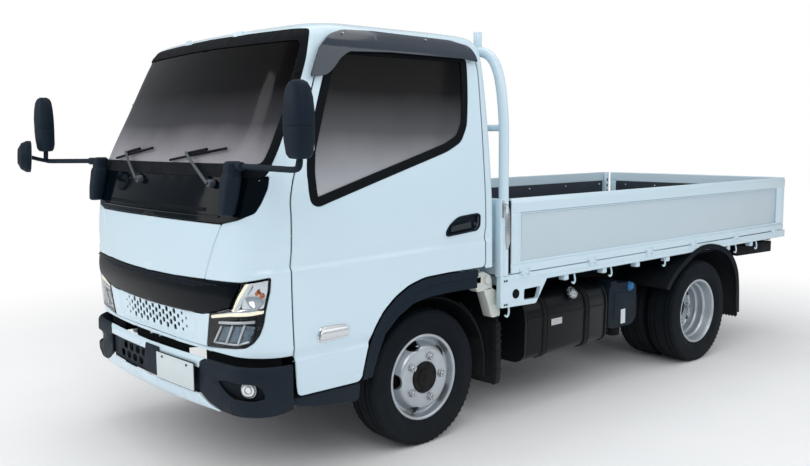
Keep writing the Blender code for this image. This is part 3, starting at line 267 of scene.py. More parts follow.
def sky_painted_glass(name, stops, low, high):
    """Laminated glass with a coated face, whose colour holds a painted reflection of the sky as a soft band between
    two heights.
    """
    made, tree = blank(name)
    place = node(tree, "TexCoord")["Object"]
    height = node(tree, "SeparateXYZ", {0: place})["Z"]
    band = node(tree, "MapRange", {"Value": height, "From Min": low, "From Max": high})[0]
    ripple = node(tree, "TexNoise", {"Vector": place, "Scale": 3.0, "Detail": 2.0})["Fac"]
    moved = node(tree, "Math", {0: ripple, 1: 0.1, 2: band}, operation="MULTIPLY_ADD")[0]
    tone = node(tree, "ValToRGB", {"Fac": moved}, stops)[0]
    film = node(tree, "MapRange", {"Value": ripple, "To Min": 0.04, "To Max": 0.09})[0]
    inputs = {"Base Color": tone, "Roughness": film, "Coat Weight": 0.03, "Coat Roughness": 0.03}
    surfaced(name, made, {**inputs, "Specular IOR Level": 0.05})


# Lower edge first: a painted reflection of a pale lilac sky fades upwards into painted shade for the dark cab
sky_painted_glass(
    "windscreen_glass",
    [(0.05, "BDBBC1"), (0.22, "9C9AA0"), (0.5, "3A3A3E"), (0.72, "0B0B0D"), (0.92, "020203")],
    1.33,
    2.0,
)
# Door glass: a painted sky reflection low down that fades upwards into painted shade
sky_painted_glass(
    "door_glass",
    [(0.0, "BEC0C6"), (0.22, "A2A4AA"), (0.5, "545558"), (0.76, "151516"), (1.0, "030304")],
    1.24,
    1.98,
)
# Mirror faces: a painted reflection, paler low down and greyer higher up
sky_painted_glass("mirror_face", [(0.0, "C6CDD3"), (1.0, "9FA8B0")], 1.4, 1.8)


def lens_plastic():
    """Clear polycarbonate lamp cover, hard coated."""
    made, tree = blank("lamp_lens")
    place = node(tree, "TexCoord")["Object"]
    haze = node(tree, "TexNoise", {"Vector": place, "Scale": 40.0})["Fac"]
    film = node(tree, "MapRange", {"Value": haze, "To Min": 0.01, "To Max": 0.05})[0]
    clear = {"Base Color": linear("F4F7F9"), "Roughness": film, "Transmission Weight": 1.0, "IOR": 1.2}
    surfaced("lamp_lens", made, clear)


lens_plastic()


# Pieces
def piece(name, bm, look, body, replaces=(), soft=35, merge=0.00002):
    """Closes a shape off as one finished piece that rides on a CAD body."""
    if merge:
        bmesh.ops.remove_doubles(bm, verts=bm.verts, dist=merge)
    bmesh.ops.recalc_face_normals(bm, faces=bm.faces)
    if bm.calc_volume(signed=True) < 0:
        bmesh.ops.reverse_faces(bm, faces=bm.faces)
    bmesh.ops.translate(bm, vec=(0, AXLE_Y, 0), verts=bm.verts)
    mesh = bpy.data.meshes.new(name)
    bm.to_mesh(mesh)
    bm.free()
    mesh.shade_smooth()
    mesh.set_sharp_from_angle(angle=math.radians(soft))
    made = bpy.data.objects.new(name, mesh)
    bpy.context.scene.collection.objects.link(made)
    mesh.materials.append(MATERIALS.get(look) or finish(look))
    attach(made, body)
    if replaces:
        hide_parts(*replaces)
    return made


def both(name, shape, look, bodies, replaces=(), **more):
    """A left piece and its mirror on the right. In the names of replaced nodes, SIDE stands for the side."""
    for side, body in zip(("left", "right"), bodies if isinstance(bodies, tuple) else (bodies, bodies)):
        bm = bmesh.new()
        shape(bm)
        if side == "right":
            bmesh.ops.scale(bm, vec=(-1, 1, 1), verts=bm.verts)
        piece(f"{name}_{side}", bm, look, body, [node_name.replace("SIDE", side) for node_name in replaces], **more)


# Shapes, each added to a bmesh
def soften(bm, edges, width, segments=2):
    bmesh.ops.bevel(
        bm, geom=edges, offset=width, segments=segments, profile=0.5, affect="EDGES", material=-1, clamp_overlap=True
    )


def box(bm, x, y, z, bevel=0.0, segments=2):
    centre = [(a[0] + a[1]) / 2 for a in (x, y, z)]
    size = [abs(a[1] - a[0]) for a in (x, y, z)]
    made = bmesh.ops.create_cube(bm, matrix=Matrix.Translation(centre) @ Matrix.Diagonal((*size, 1)))
    if bevel:
        soften(bm, list({e for v in made["verts"] for e in v.link_edges}), bevel, segments)


def bar(bm, start, end, radius, end_radius=None, sides=20, bevel=0.0):
    start, end = Vector(start), Vector(end)
    turned_to = Vector((0, 0, 1)).rotation_difference(end - start).to_matrix().to_4x4()
    made = bmesh.ops.create_cone(
        bm,
        cap_ends=True,
        segments=sides,
        radius1=radius,
        radius2=radius if end_radius is None else end_radius,
        depth=(end - start).length,
        matrix=Matrix.Translation((start + end) / 2) @ turned_to,
    )
    if bevel:
        rims = {e for v in made["verts"] for e in v.link_edges if len(e.link_faces) == 2 and e.calc_face_angle() > 1}
        soften(bm, list(rims), bevel)


def plate(bm, along, span, outline, bevel=0.0, segments=2):
    """A flat outline pushed along x (outline in y, z), y (x, z) or z (x, y)."""
    place = {"x": lambda a, b: (span[0], a, b), "y": lambda a, b: (a, span[0], b), "z": lambda a, b: (a, b, span[0])}
    face = bm.faces.new([bm.verts.new(place[along](a, b)) for a, b in outline])
    push = Vector([(span[1] - span[0]) * (along == letter) for letter in "xyz"])
    made = bmesh.ops.extrude_face_region(bm, geom=[face])["geom"]
    tops = [v for v in made if isinstance(v, bmesh.types.BMVert)]
    bmesh.ops.translate(bm, vec=push, verts=tops)
    if bevel:
        spots = set(tops) | set(face.verts)
        soften(bm, list({e for v in spots for e in v.link_edges}), bevel, segments)


def bent(points, bend, steps=4):
    """The path with its corners rounded."""
    path = [Vector(p) for p in points]
    smooth = [path[0]]
    for before, here, after in zip(path, path[1:], path[2:]):
        into = (before - here).normalized() * min(bend, (before - here).length / 2.05)
        out = (after - here).normalized() * min(bend, (after - here).length / 2.05)
        for i in range(steps + 1):
            t = i / steps
            smooth.append((here + into).lerp(here, t).lerp(here.lerp(here + out, t), t))
    return smooth + [path[-1]]


def pipe(bm, points, radius, sides=12, bend=0.0, flat=1.0):
    """A round bar along the points, its corners rounded by bend; flat squashes its section."""
    path = bent(points, bend) if bend else [Vector(p) for p in points]
    ring = None
    heading = Vector((0, 0, 1))
    frame_now = Matrix.Identity(3)
    for i, spot in enumerate(path):
        ahead = path[min(i + 1, len(path) - 1)] - path[max(i - 1, 0)]
        step = heading.rotation_difference(ahead.normalized()).to_matrix()
        frame_now = step @ frame_now
        heading = ahead.normalized()
        place = Matrix.Translation(spot) @ frame_now.to_4x4() @ Matrix.Diagonal((radius, radius * flat, 1, 1))
        made = bmesh.ops.create_circle(bm, cap_ends=i in (0, len(path) - 1), segments=sides, radius=1.0, matrix=place)
        edges = list({e for v in made["verts"] for e in v.link_edges if len(e.link_faces) < 2})
        edges = [e for e in edges if e.verts[0] in made["verts"] and e.verts[1] in made["verts"]]
        if ring:
            bmesh.ops.bridge_loops(bm, edges=ring + edges)
        ring = edges


def lathe(bm, profile, steps, centre, outward=1, closed=True):
    """A profile of (radius, distance outwards) rows turned about the x axis through the centre."""
    spots = [bm.verts.new((centre[0] + outward * out, centre[1], centre[2] + r)) for r, out in profile]
    edges = [bm.edges.new(pair) for pair in zip(spots, spots[1:])]
    if closed:
        edges.append(bm.edges.new((spots[-1], spots[0])))
    bmesh.ops.spin(
        bm,
        geom=spots + edges,
        cent=centre,
        axis=(1, 0, 0),
        angle=2 * math.pi,
        steps=steps,
        use_merge=True,
        use_duplicate=False,
    )


def rounded(outline, radius, steps=4):
    """A closed outline with its corners rounded."""
    smooth = []
    count = len(outline)
    for i in range(count):
        before, here, after = (Vector((*outline[j % count], 0)) for j in (i - 1, i, i + 1))
        cut = min(radius, (before - here).length / 2.05, (after - here).length / 2.05)
        into = here + (before - here).normalized() * cut
        out = here + (after - here).normalized() * cut
        for k in range(steps + 1):
            t = k / steps
            smooth.append(tuple(into.lerp(here, t).lerp(here.lerp(out, t), t))[:2])
    return smooth


def grown(outline, by):
    """The outline moved out by a distance at each corner."""
    count = len(outline)
    area = sum(
        outline[i][0] * outline[(i + 1) % count][1] - outline[(i + 1) % count][0] * outline[i][1]
        for i in range(count)
    )
    way = 1 if area > 0 else -1
    moved = []
    for i in range(count):
        here = Vector(outline[i])
        into = (here - Vector(outline[i - 1])).normalized()
        out = (Vector(outline[(i + 1) % count]) - here).normalized()
        n1 = Vector((into.y, -into.x)) * way
        n2 = Vector((out.y, -out.x)) * way
        moved.append(tuple(here + (n1 + n2) * (by / max(0.35, 1 + n1.dot(n2)))))
    return moved


# The cab's outer skin. Rows: z, half width, front y at the middle, corner radius, back y, rear corner radius
CAB_RINGS = (
    (0.43, 0.837, -1.06, 0.165, 0.422, 0.03),
    (0.62, 0.845, -1.085, 0.17, 0.422, 0.03),
    (0.938, 0.847, -1.1, 0.175, 0.422, 0.03),
    (1.2, 0.844, -1.087, 0.17, 0.422, 0.03),
    (1.416, 0.829, -1.032, 0.13, 0.422, 0.03),
    (1.7, 0.799, -0.898, 0.115, 0.422, 0.03),
    (1.96, 0.763, -0.775, 0.105, 0.42, 0.04),
    (2.025, 0.742, -0.735, 0.105, 0.412, 0.055),
    (2.062, 0.702, -0.67, 0.11, 0.388, 0.08),
    (2.085, 0.6, -0.54, 0.11, 0.3, 0.09),
)
CAB_BOW = 0.045
# Distance along the skin from the middle of the front to where the corner, the side, the rear corner and the back
# start, and to the middle of the back
TURNS = 0.672, 0.962, 2.212, 2.262, 3.062


def ring_at(rings, z):
    """The skin's plan sizes at a height, on a smooth curve through the rows."""
    z = min(max(z, rings[0][0]), rings[-1][0])
    row = max(i for i in range(len(rings) - 1) if rings[i][0] <= z)
    before, low, high, after = (rings[min(max(row + k, 0), len(rings) - 1)] for k in (-1, 0, 1, 2))
    gap = high[0] - low[0]
    t = (z - low[0]) / gap
    sizes = []
    for k in range(1, len(low)):
        m0 = (high[k] - before[k]) / (high[0] - before[0]) * gap
        m1 = (after[k] - low[k]) / (after[0] - low[0]) * gap
        a, b = low[k], high[k]
        sizes.append(
            (
                2 * t**3 - 3 * t**2 + 1
            ) * a + (t**3 - 2 * t**2 + t) * m0 + (3 * t**2 - 2 * t**3) * b + (t**3 - t**2) * m1
        )
    return sizes


def corner(w, r):
    """The angle where the front's bow meets the corner, and the corner's radius after it."""
    start = math.atan(2 * CAB_BOW / (w - r))
    return start, r / (1 - math.sin(start))


def wrap(u, z, rings=CAB_RINGS, out=0.0):
    """The place on the skin at a distance u round from the middle of the front, and at a height."""
    side, a = (1 if u >= 0 else -1), abs(u)
    w, front, r, back, q = ring_at(rings, z)
    start, big = corner(w, r)
    side_y = front + CAB_BOW + big * math.cos(start)
    if a <= TURNS[0]:
        t = a / TURNS[0]
        x, y, n = (w - r) * t, front + CAB_BOW * t * t, Vector((2 * CAB_BOW * t / (w - r), -1)).normalized()
    elif a <= TURNS[1]:
        angle = start + (a - TURNS[0]) / (TURNS[1] - TURNS[0]) * (math.pi / 2 - start)
        n = Vector((math.sin(angle), -math.cos(angle)))
        x = w - r + big * (math.sin(angle) - math.sin(start))
        y = front + CAB_BOW + big * (math.cos(start) - math.cos(angle))
    elif a <= TURNS[2]:
        t = (a - TURNS[1]) / (TURNS[2] - TURNS[1])
        x, y, n = w, side_y + t * (back - q - side_y), Vector((1, 0))
    elif a <= TURNS[3]:
        angle = (a - TURNS[2]) / (TURNS[3] - TURNS[2]) * math.pi / 2
        n = Vector((math.cos(angle), math.sin(angle)))
        x, y = w - q + q * n.x, back - q + q * n.y
    else:
        x, y, n = (w - q) * (TURNS[4] - a) / (TURNS[4] - TURNS[3]), back, Vector((0, 1))
    return Vector((side * (x + n.x * out), y + n.y * out, z))


def across(x, z, rings=CAB_RINGS):
    """The distance round the skin of a point of the front given by its x."""
    w, front, r, back, q = ring_at(rings, z)
    side, a = (1 if x >= 0 else -1), abs(x)
    if a <= w - r:
        return side * TURNS[0] * a / (w - r)
    start, big = corner(w, r)
    angle = math.asin(min(1.0, (a - w + r) / big + math.sin(start)))
    return side * (TURNS[0] + (angle - start) / (math.pi / 2 - start) * (TURNS[1] - TURNS[0]))


def along(y, z, rings=CAB_RINGS):
    """The distance round the skin of a point of the left side given by its y."""
    w, front, r, back, q = ring_at(rings, z)
    start, big = corner(w, r)
    side_y = front + CAB_BOW + big * math.cos(start)
    if y >= side_y:
        return TURNS[1] + (y - side_y) / (back - q - side_y) * (TURNS[2] - TURNS[1])
    angle = math.acos(min(1.0, math.cos(start) - (y - front - CAB_BOW) / big))
    return TURNS[0] + (angle - start) / (math.pi / 2 - start) * (TURNS[1] - TURNS[0])


def fine(outline, step=0.04, closed=True):
    """The outline with no edge longer than a step."""
    points = []
    ends = outline[1:] + outline[:1] if closed else outline[1:]
    for here, after in zip(outline, ends):
        here, after = Vector(here), Vector(after)
        parts = max(1, math.ceil((after - here).length / step))
        points += [tuple(here.lerp(after, k / parts)) for k in range(parts)]
    return points if closed else points + [tuple(outline[-1])]


def unrolled(points, rings=CAB_RINGS):
    """Points on the skin as (distance round it, height): x, z on the front, or x, y, z at the corner and the side."""
    flat = []
    for point in points:
        if len(point) == 2:
            flat.append((across(*point, rings), point[1]))
        else:
            x, y, z = point
            w, front, r, back, q = ring_at(rings, z)
            start, big = corner(w, r)
            middle = w - r - big * math.sin(start), front + CAB_BOW + big * math.cos(start)
            angle = math.atan2(abs(x) - middle[0], middle[1] - y)
            if angle < start:
                u = abs(across(x, z, rings))
            elif angle > math.pi / 2:
                u = along(y, z, rings)
            else:
                u = TURNS[0] + (angle - start) / (math.pi / 2 - start) * (TURNS[1] - TURNS[0])
            flat.append((math.copysign(u, x), z))
    return flat


def on_side(outline):
    """Points y, z of the left side as (distance round the skin, height)."""
    return [(along(y, z), z) for y, z in outline]


def two_halves(half):
    """A closed outline from its left half, which runs from the middle line back to it."""
    return list(half) + [(-u, z) for u, z in half[::-1] if abs(u) > 1e-6]


# Pressed lines along the cab's side. Rows: height at the axle, rise to the rear, depth, fade above, width of the ledge
CREASES = (
    (1.024, 0.0205, 0.01, 0.075, 0.018),
    (0.615, 0.004, 0.008, 0.045, 0.018),
)


def eased(t):
    t = min(max(t, 0.0), 1.0)
    return t * t * (3 - 2 * t)


def pressed(u, y, z):
    """How far the side's pressed lines stand in at a point of the skin."""
    strength = eased((abs(u) - TURNS[0] + 0.02) / 0.16) * (1 - eased((abs(u) - TURNS[2] + 0.02) / 0.03))
    inward = 0.0
    for height, rise, depth, fade, ledge in CREASES:
        above = z - height - rise * y
        inward += depth * (1 - eased(above / fade)) if above > 0 else depth * (1 - eased(-above / ledge))
    return inward * strength


def sheet(
    bm, loops, thick=0.012, out=0.0, rim=0.003, rings=CAB_RINGS, creased=False, step=0.05, lines=(),
    capped=False, halved=False
):
    """A panel of the skin inside the loops (the first is its edge, the others are holes), with a rolled rim.
    Out is how far it stands out from the skin, as a number or as a function of the place on it. Lines are
    heights of extra cuts, creased presses the side's lines in and capped closes the roof over the top edge.
    A halved panel's loops are its left half, which is mirrored."""
    edges = []
    for loop in loops:
        spots = [bm.verts.new((u, z, 0)) for u, z in fine(loop, step)]
        edges += [bm.edges.new(pair) for pair in zip(spots, spots[1:] + spots[:1])]
    bmesh.ops.triangle_fill(bm, use_beauty=True, use_dissolve=False, edges=edges, normal=(0, 0, 1))
    if rim:
        bmesh.ops.inset_region(bm, faces=bm.faces[:], thickness=rim, use_boundary=True, use_even_offset=False)
    flat = [v.co.copy() for v in bm.verts]
    low_u, high_u = min(c.x for c in flat), max(c.x for c in flat)
    low_z, high_z = min(c.y for c in flat), max(c.y for c in flat)
    turns = [TURNS[0] * i / 9 for i in range(9)] + [TURNS[0] + (TURNS[1] - TURNS[0]) * i / 10 for i in range(10)]
    turns += [
        TURNS[1] + (TURNS[2] - TURNS[1]) * i / 10 for i in range(10)
    ] + [TURNS[2] + 0.0125 * i for i in range(4)]
    turns += [TURNS[3] + 0.16 * i for i in range(5)]
    cuts = [((way * u, 0, 0), (1, 0, 0)) for u in turns for way in (-1, 1) if low_u < way * u < high_u]
    count = max(1, round((high_z - low_z) / step))
    heights = [low_z + (high_z - low_z) * i / count for i in range(1, count)] + list(lines)
    cuts += [((0, z, 0), (0, 1, 0)) for z in heights]
    if creased:
        for height, rise, depth, fade, ledge in CREASES:
            for offset in (-ledge, -ledge / 2, 0, fade * 0.15, fade * 0.3, fade * 0.5, fade * 0.7, fade):
                cuts.append(((TURNS[1], height + offset - rise * 0.87, 0), (-rise, 1, 0)))
    for place, normal in cuts:
        bmesh.ops.bisect_plane(bm, geom=bm.verts[:] + bm.edges[:] + bm.faces[:], plane_co=place, plane_no=normal)
    rims = {v for v in bm.verts if v.is_boundary and abs(v.co.x) < TURNS[4] - 0.001}
    if halved:
        rims = {v for v in rims if v.co.x > 0.0001}
    if capped:
        rims = {v for v in rims if v.co.y < high_z - 0.001}
    for v in bm.verts:
        u, z = v.co.x, v.co.y
        stand = (out(u, z) if callable(out) else out) - (rim if v in rims else 0.0)
        if creased:
            stand -= pressed(u, wrap(u, z, rings).y, z)
        v.co = wrap(u, z, rings, stand)
    if halved:
        other = bmesh.ops.duplicate(bm, geom=bm.verts[:] + bm.edges[:] + bm.faces[:])["geom"]
        bmesh.ops.scale(bm, vec=(-1, 1, 1), verts=[v for v in other if isinstance(v, bmesh.types.BMVert)])
    bmesh.ops.remove_doubles(bm, verts=bm.verts, dist=0.0002)
    bmesh.ops.recalc_face_normals(bm, faces=bm.faces)
    if capped:
        top = [e for e in bm.edges if e.is_boundary and min(v.co.z for v in e.verts) > high_z - 0.001]
        for share, rise in ((0.93, 0.006), (0.8, 0.005), (0.55, 0.004), (0.25, 0.002)):
            made = bmesh.ops.extrude_edge_only(bm, edges=top)["geom"]
            spots = [v for v in made if isinstance(v, bmesh.types.BMVert)]
            top = [e for e in made if isinstance(e, bmesh.types.BMEdge) and e.is_boundary]
            middle = sum((v.co for v in spots), Vector()) / len(spots)
            for v in spots:
                v.co.x = middle.x + (v.co.x - middle.x) * share
                v.co.y = middle.y + (v.co.y - middle.y) * share
                v.co.z += rise
        bmesh.ops.edgeloop_fill(bm, edges=top)
        bmesh.ops.recalc_face_normals(bm, faces=bm.faces)
    outward = sum((f.calc_center_median() - Vector((0, -0.3, 1.2))).dot(f.normal) * f.calc_area() for f in bm.faces)
    if outward < 0:
        bmesh.ops.reverse_faces(bm, faces=bm.faces)
    bm.normal_update()
    inward = bm.verts.layers.float_vector.new("inward")
    for v in bm.verts:
        v[inward] = v.normal * -thick
    for v in bmesh.ops.extrude_face_region(bm, geom=bm.faces[:])["geom"]:
        if isinstance(v, bmesh.types.BMVert):
            v.co += v[inward]


# Cab skin: one pressing round the front, the sides behind the doors, the back and the roof. Points y, z
DOOR = [
    (-0.824, 0.436), (-0.47, 0.436), (-0.43, 0.6), (-0.402, 0.662), (-0.345, 0.742), (-0.267, 0.806), (-0.178, 0.852),
    (-0.075, 0.878), (0.082, 0.884), (0.352, 0.884), (0.356, 1.3), (0.362, 1.69), (0.366, 1.9), (0.345, 1.975),
    (0.29, 2.006), (-0.48, 2.006), (-0.56, 1.985), (-0.618, 1.93), (-0.715, 1.68), (-0.8, 1.43), (-0.838, 1.3),
    (-0.845, 1.015), (-0.838, 0.636)
]
WINDOW = [
    (-0.742, 1.33), (-0.733, 1.275), (-0.7, 1.258), (0.1, 1.485), (0.2, 1.53), (0.25, 1.61), (0.272, 1.75),
    (0.288, 1.93), (0.268, 1.968), (-0.49, 1.968), (-0.545, 1.95), (-0.585, 1.905), (-0.665, 1.7), (-0.738, 1.49)
]
# Handle recess, points y, z
HANDLE = [
    (0.072, 1.062), (0.066, 1.09), (0.09, 1.12), (0.135, 1.15), (0.165, 1.16), (0.292, 1.169), (0.316, 1.158),
    (0.313, 1.1), (0.29, 1.078)
]
DOOR_GAP = 0.006
around_door = rounded(grown(DOOR, DOOR_GAP), 0.03)
opening = [p for p in around_door if p[1] > (0.64 if p[0] < -0.7 else 0.885)]
opening = on_side([(-0.846, 0.622)] + opening[::-1] + [(0.359, 0.876)])
foot = [(across(x, 0.622), 0.622) for x in (0.0, 0.25, 0.5, 0.65)]
TOP = CAB_RINGS[-1][0]
# Windscreen opening, from the middle of its lower edge to the middle of its upper edge
SCREEN_EDGE = unrolled(
    [
        (0.0, 1.402), (0.829, -0.96, 1.402), (0.822, -0.893, 1.505), (0.803, -0.806, 1.673), (0.788, -0.752, 1.796),
        (0.778, -0.712, 1.887), (0.752, -0.672, 2.022), (0.0, 2.03)
    ]
)
# Opening for the cowl, the front panel, the grille and the lamps
COWL_SIDE = [
    (0.812, -0.925, 1.396), (0.814, -0.935, 1.346), (0.803, -0.962, 1.285), (0.789, -0.987, 1.243), (0.72, 1.212),
    (0.623, 1.192)
]
SEAM = [(0.56, 1.07), (0.503, 0.942)]
LAMP_TOP = [(0.745, -1.038, 0.951), (0.835, -0.942, 0.973)]
LAMP_OUTER = [
    (0.833, -0.947, 0.913), (0.823, -0.964, 0.837), (0.815, -0.972, 0.775), (0.803, -0.985, 0.728),
    (0.78, -1.004, 0.691), (0.745, -1.022, 0.667), (0.69, -1.04, 0.658), (0.483, 0.634)
]
face_half = unrolled([(0.0, 1.396)] + COWL_SIDE + SEAM + LAMP_TOP + LAMP_OUTER + [(0.0, 0.64)])
BACK_LIGHT = [(TURNS[4], 1.48), (TURNS[4] - 0.45, 1.48), (TURNS[4] - 0.45, 1.86), (TURNS[4], 1.86)]


def eased_corners(half, radius):
    """A half outline with its corners rounded, but for its two ends."""
    smooth = [half[0]]
    for before, here, after in zip(half, half[1:], half[2:]):
        smooth += rounded([before, here, after], radius)[5:10]
    return smooth + [half[-1]]


def shrunk(half, by):
    """A half outline moved in by a distance, or out by a negative one, its ends kept on the middle line."""
    whole = half + [(-u, z) for u, z in half[::-1] if u > 0.0001]
    return grown(whole, -by)[: len(half)]


screen_half = eased_corners(SCREEN_EDGE, 0.035)
skin_half = foot + opening + [(TURNS[4], 0.876)] + eased_corners(BACK_LIGHT, 0.04)
skin_half += [(TURNS[4], TOP), (0.0, TOP)] + screen_half[::-1] + eased_corners(face_half, 0.012)

bm = bmesh.new()
NEAR_TOP = (1.975, 1.99, 2.005, 2.017, 2.028, 2.038, 2.047, 2.055, 2.062, 2.069, 2.075, 2.08)
sheet(bm, [skin_half], thick=0.03, creased=True, lines=NEAR_TOP, capped=True, halved=True)
piece("cab_skin", bm, "white_enamel", "cab", ("cab_shell",), soft=40)


def door_skin(bm):
    edge = rounded(DOOR, 0.03)
    hole = rounded(grown(WINDOW, 0.002), 0.03)
    sheet(bm, [on_side(edge), on_side(hole), on_side(rounded(grown(HANDLE, -0.004), 0.012))], 0.034, creased=True)


both("door_skin", door_skin, "white_enamel", ("left_door", "right_door"), ("door_SIDE",), soft=40)


def door_seal(bm):
    sheet(
        bm, [on_side(rounded(grown(WINDOW, 0.003), 0.03)), on_side(rounded(grown(WINDOW, -0.04), 0.02))], 0.012, 0.003
    )


both("window_seal", door_seal, "seal_rubber", ("left_door", "right_door"))


def door_pane(bm):
    sheet(bm, [on_side(rounded(grown(WINDOW, -0.03), 0.02))], 0.005, -0.004, 0)


both("window_glass", door_pane, "door_glass", ("left_door", "right_door"), ("door_glass_SIDE",))

bm = bmesh.new()
inner_edge = eased_corners(shrunk(SCREEN_EDGE, 0.045), 0.03)
sheet(bm, [eased_corners(shrunk(SCREEN_EDGE, -0.012), 0.035) + inner_edge[::-1]], 0.012, 0.004, halved=True)
piece("windscreen_seal", bm, "seal_rubber", "cab")
bm = bmesh.new()
sheet(bm, [eased_corners(shrunk(SCREEN_EDGE, 0.035), 0.03)], 0.006, -0.003, 0, halved=True)
piece("windscreen_pane", bm, "windscreen_glass", "cab", ("windscreen",))

# Cowl, front panel and band
cowl_half = unrolled([(0.0, 1.3945)] + COWL_SIDE + [(0.0, 1.194)])
bm = bmesh.new()
sheet(bm, [eased_corners(shrunk(cowl_half, 0.0015), 0.01)], 0.02, 0.0, halved=True)
piece("cowl", bm, "piano_black", "cab", ("cowl_panel",))
panel_half = unrolled([(0.0, 1.192), (0.621, 1.19)] + SEAM + [(0.25, 0.934), (0.0, 0.932)])
bm = bmesh.new()
sheet(bm, [eased_corners(shrunk(panel_half, 0.0015), 0.008)], 0.02, halved=True)
piece("front_cover", bm, "white_enamel", "cab", ("front_panel",))


def bulge(low, high, depth):
    """Stands a strip out, most in the middle of its height."""
    return lambda u, z: depth * math.sin(math.pi * min(max((z - low) / (high - low), 0.0), 1.0))


def along_skin(points, out=0.0, step=0.03, rings=CAB_RINGS):
    """Points in space that follow the skin through the given ones."""
    return [wrap(u, z, rings, out) for u, z in fine(unrolled(points, rings), step, closed=False)]


band_half = unrolled(
    [(0.0, 0.93), (0.25, 0.932), (0.503, 0.9395), (0.74, -1.04, 0.948), (0.683, 0.84), (0.6, 0.812)]
    + [(0.528, 0.797), (0.47, 0.786), (0.3, 0.7795), (0.0, 0.7765)]
)
bm = bmesh.new()
sheet(bm, [eased_corners(shrunk(band_half, 0.001), 0.006)], 0.018, bulge(0.775, 0.95, 0.009), step=0.025, halved=True)
piece("front_band", bm, "piano_black", "cab")
bm = bmesh.new()
for row in range(4):
    z = 0.9275 - 0.0065 * row
    reach = 0.6 - 0.05 * row
    pipe(bm, along_skin([(-reach, z), (reach, z)], 0.0045 + 0.001 * row), 0.0016, 6)
piece("band_ribs", bm, "grained_plastic", "cab")

# Grille: set back between its lips, with columns of upright rounded holes, every other column half a step down
HOLE_STEP = 0.0365, 0.04  # across and down
HOLE_SIZE = 0.0125, 0.0145  # half width and half height


def hole(x, z, share):
    wide, high = HOLE_SIZE[0] * share, HOLE_SIZE[1] * share
    ring = [(x - wide, z - high * 0.6), (x, z - high), (x + wide, z - high * 0.6)]
    ring += [(x + wide, z + high * 0.6), (x, z + high), (x - wide, z + high * 0.6)]
    return rounded(unrolled(ring), 0.004, 2)


def set_back(u, z):
    across_share = 1 - eased((abs(u) - 0.37) / 0.05)
    return -0.009 * across_share * eased((z - 0.652) / 0.022)


grille_half = unrolled([(0.0, 0.7745), (0.3, 0.7775), (0.47, 0.784), (0.5265, 0.7945), (0.484, 0.637), (0.0, 0.643)])
grille_edge = two_halves(eased_corners(shrunk(grille_half, 0.001), 0.006))
holes = []
for column in range(-9, 10):
    share = 1.0 if abs(column) < 7 else (0.8, 0.62, 0.5)[abs(column) - 7]
    rows = (-1, 0, 1) if column % 2 == 0 else (-0.5, 0.5)
    holes += [hole(column * HOLE_STEP[0] * 0.97, 0.7225 + row * HOLE_STEP[1] * 0.95, share) for row in rows]
bm = bmesh.new()
sheet(bm, [grille_edge] + holes, 0.006, set_back, rim=0.0006, step=0.03)
piece("perforated_grille", bm, "white_enamel", "cab", ("grille",), soft=30)
bm = bmesh.new()
sheet(
    bm, [shrunk(unrolled([(0.0, 0.93), (0.5, 0.93), (0.5, 0.645), (0.0, 0.645)]), 0)], 0.006, -0.036, 0, halved=True
)
piece("grille_backing", bm, "seal_rubber", "cab")

# Headlamps: clear cover over a black bezel, with a light guide, a turn lamp bowl and reflector cells
LAMP = [
    (0.835, -0.942, 0.972), (0.745, -1.038, 0.95), (0.685, -1.05, 0.838), (0.529, -1.066, 0.794),
    (0.485, -1.062, 0.635), (0.69, -1.04, 0.659), (0.745, -1.022, 0.668), (0.78, -1.004, 0.692),
    (0.803, -0.985, 0.729), (0.815, -0.972, 0.776), (0.822, -0.964, 0.837), (0.832, -0.947, 0.913)
]
lamp_loop = unrolled(LAMP)
CELLS = (
    ((0.536, 0.664), (0.612, 0.668), (0.668, 0.752), (0.598, 0.744)),
    ((0.62, 0.668), (0.692, 0.674), (0.736, 0.764), (0.676, 0.756)),
    ((0.7, 0.675), (0.757, 0.694), (0.788, 0.76), (0.744, 0.768)),
)
BOWL = (0.786, 0.894), (0.044, 0.052)
BOWL_PLATE = [(0.768, 0.944), (0.826, 0.96), (0.822, 0.842), (0.728, 0.836)]


def bowl_depth(u, z):
    middle = across(*BOWL[0])
    reach = ((u - middle) / BOWL[1][0]) ** 2 + ((z - BOWL[0][1]) / BOWL[1][1]) ** 2
    return -0.012 - 0.018 * max(0.0, 1 - reach)


def lamp_bezel(bm):
    sheet(bm, [grown(lamp_loop, -0.002)], 0.008, -0.034, 0, step=0.03)


def lamp_wall(bm):
    sheet(bm, [rounded(grown(lamp_loop, -0.0015), 0.008), rounded(grown(lamp_loop, -0.009), 0.006)], 0.034, 0.0)


def lamp_cover(bm):
    sheet(bm, [rounded(grown(lamp_loop, -0.003), 0.008)], 0.003, 0.003, 0.001, step=0.03)


def light_guide(bm):
    pipe(bm, along_skin([(0.764, 0.948), (0.732, 0.896), (0.683, 0.826)], -0.01), 0.0075, 10)
    pipe(bm, along_skin([(0.536, 0.78), (0.668, 0.804), (0.767, 0.815), (0.812, 0.827)], -0.01), 0.008, 10)


def guide_trim(bm):
    pipe(bm, along_skin([(0.781, 0.95), (0.748, 0.893), (0.7, 0.822)], -0.018), 0.014, 10, flat=0.5)
    pipe(
        bm, along_skin([(0.528, 0.786), (0.665, 0.812), (0.764, 0.826), (0.816, 0.838)], -0.018), 0.013, 10, flat=0.5
    )


def turn_bowl(bm):
    sheet(bm, [rounded(unrolled(BOWL_PLATE), 0.016)], 0.003, bowl_depth, 0.0, step=0.01)


def reflector_cells(bm):
    for cell in CELLS:
        flat = grown(unrolled(cell), -0.004)
        low = min(z for u, z in flat)
        left = min(u for u, z in flat)
        part = bmesh.new()
        sheet(
            part, [rounded(flat, 0.006, 2)], 0.003, lambda u, z: -0.014 - 0.16 * (u - left) + 0.06 * (z - low), 0,
            step=0.015
        )
        mesh = bpy.data.meshes.new("cell")
        part.to_mesh(mesh)
        part.free()
        bm.from_mesh(mesh)
        bpy.data.meshes.remove(mesh)


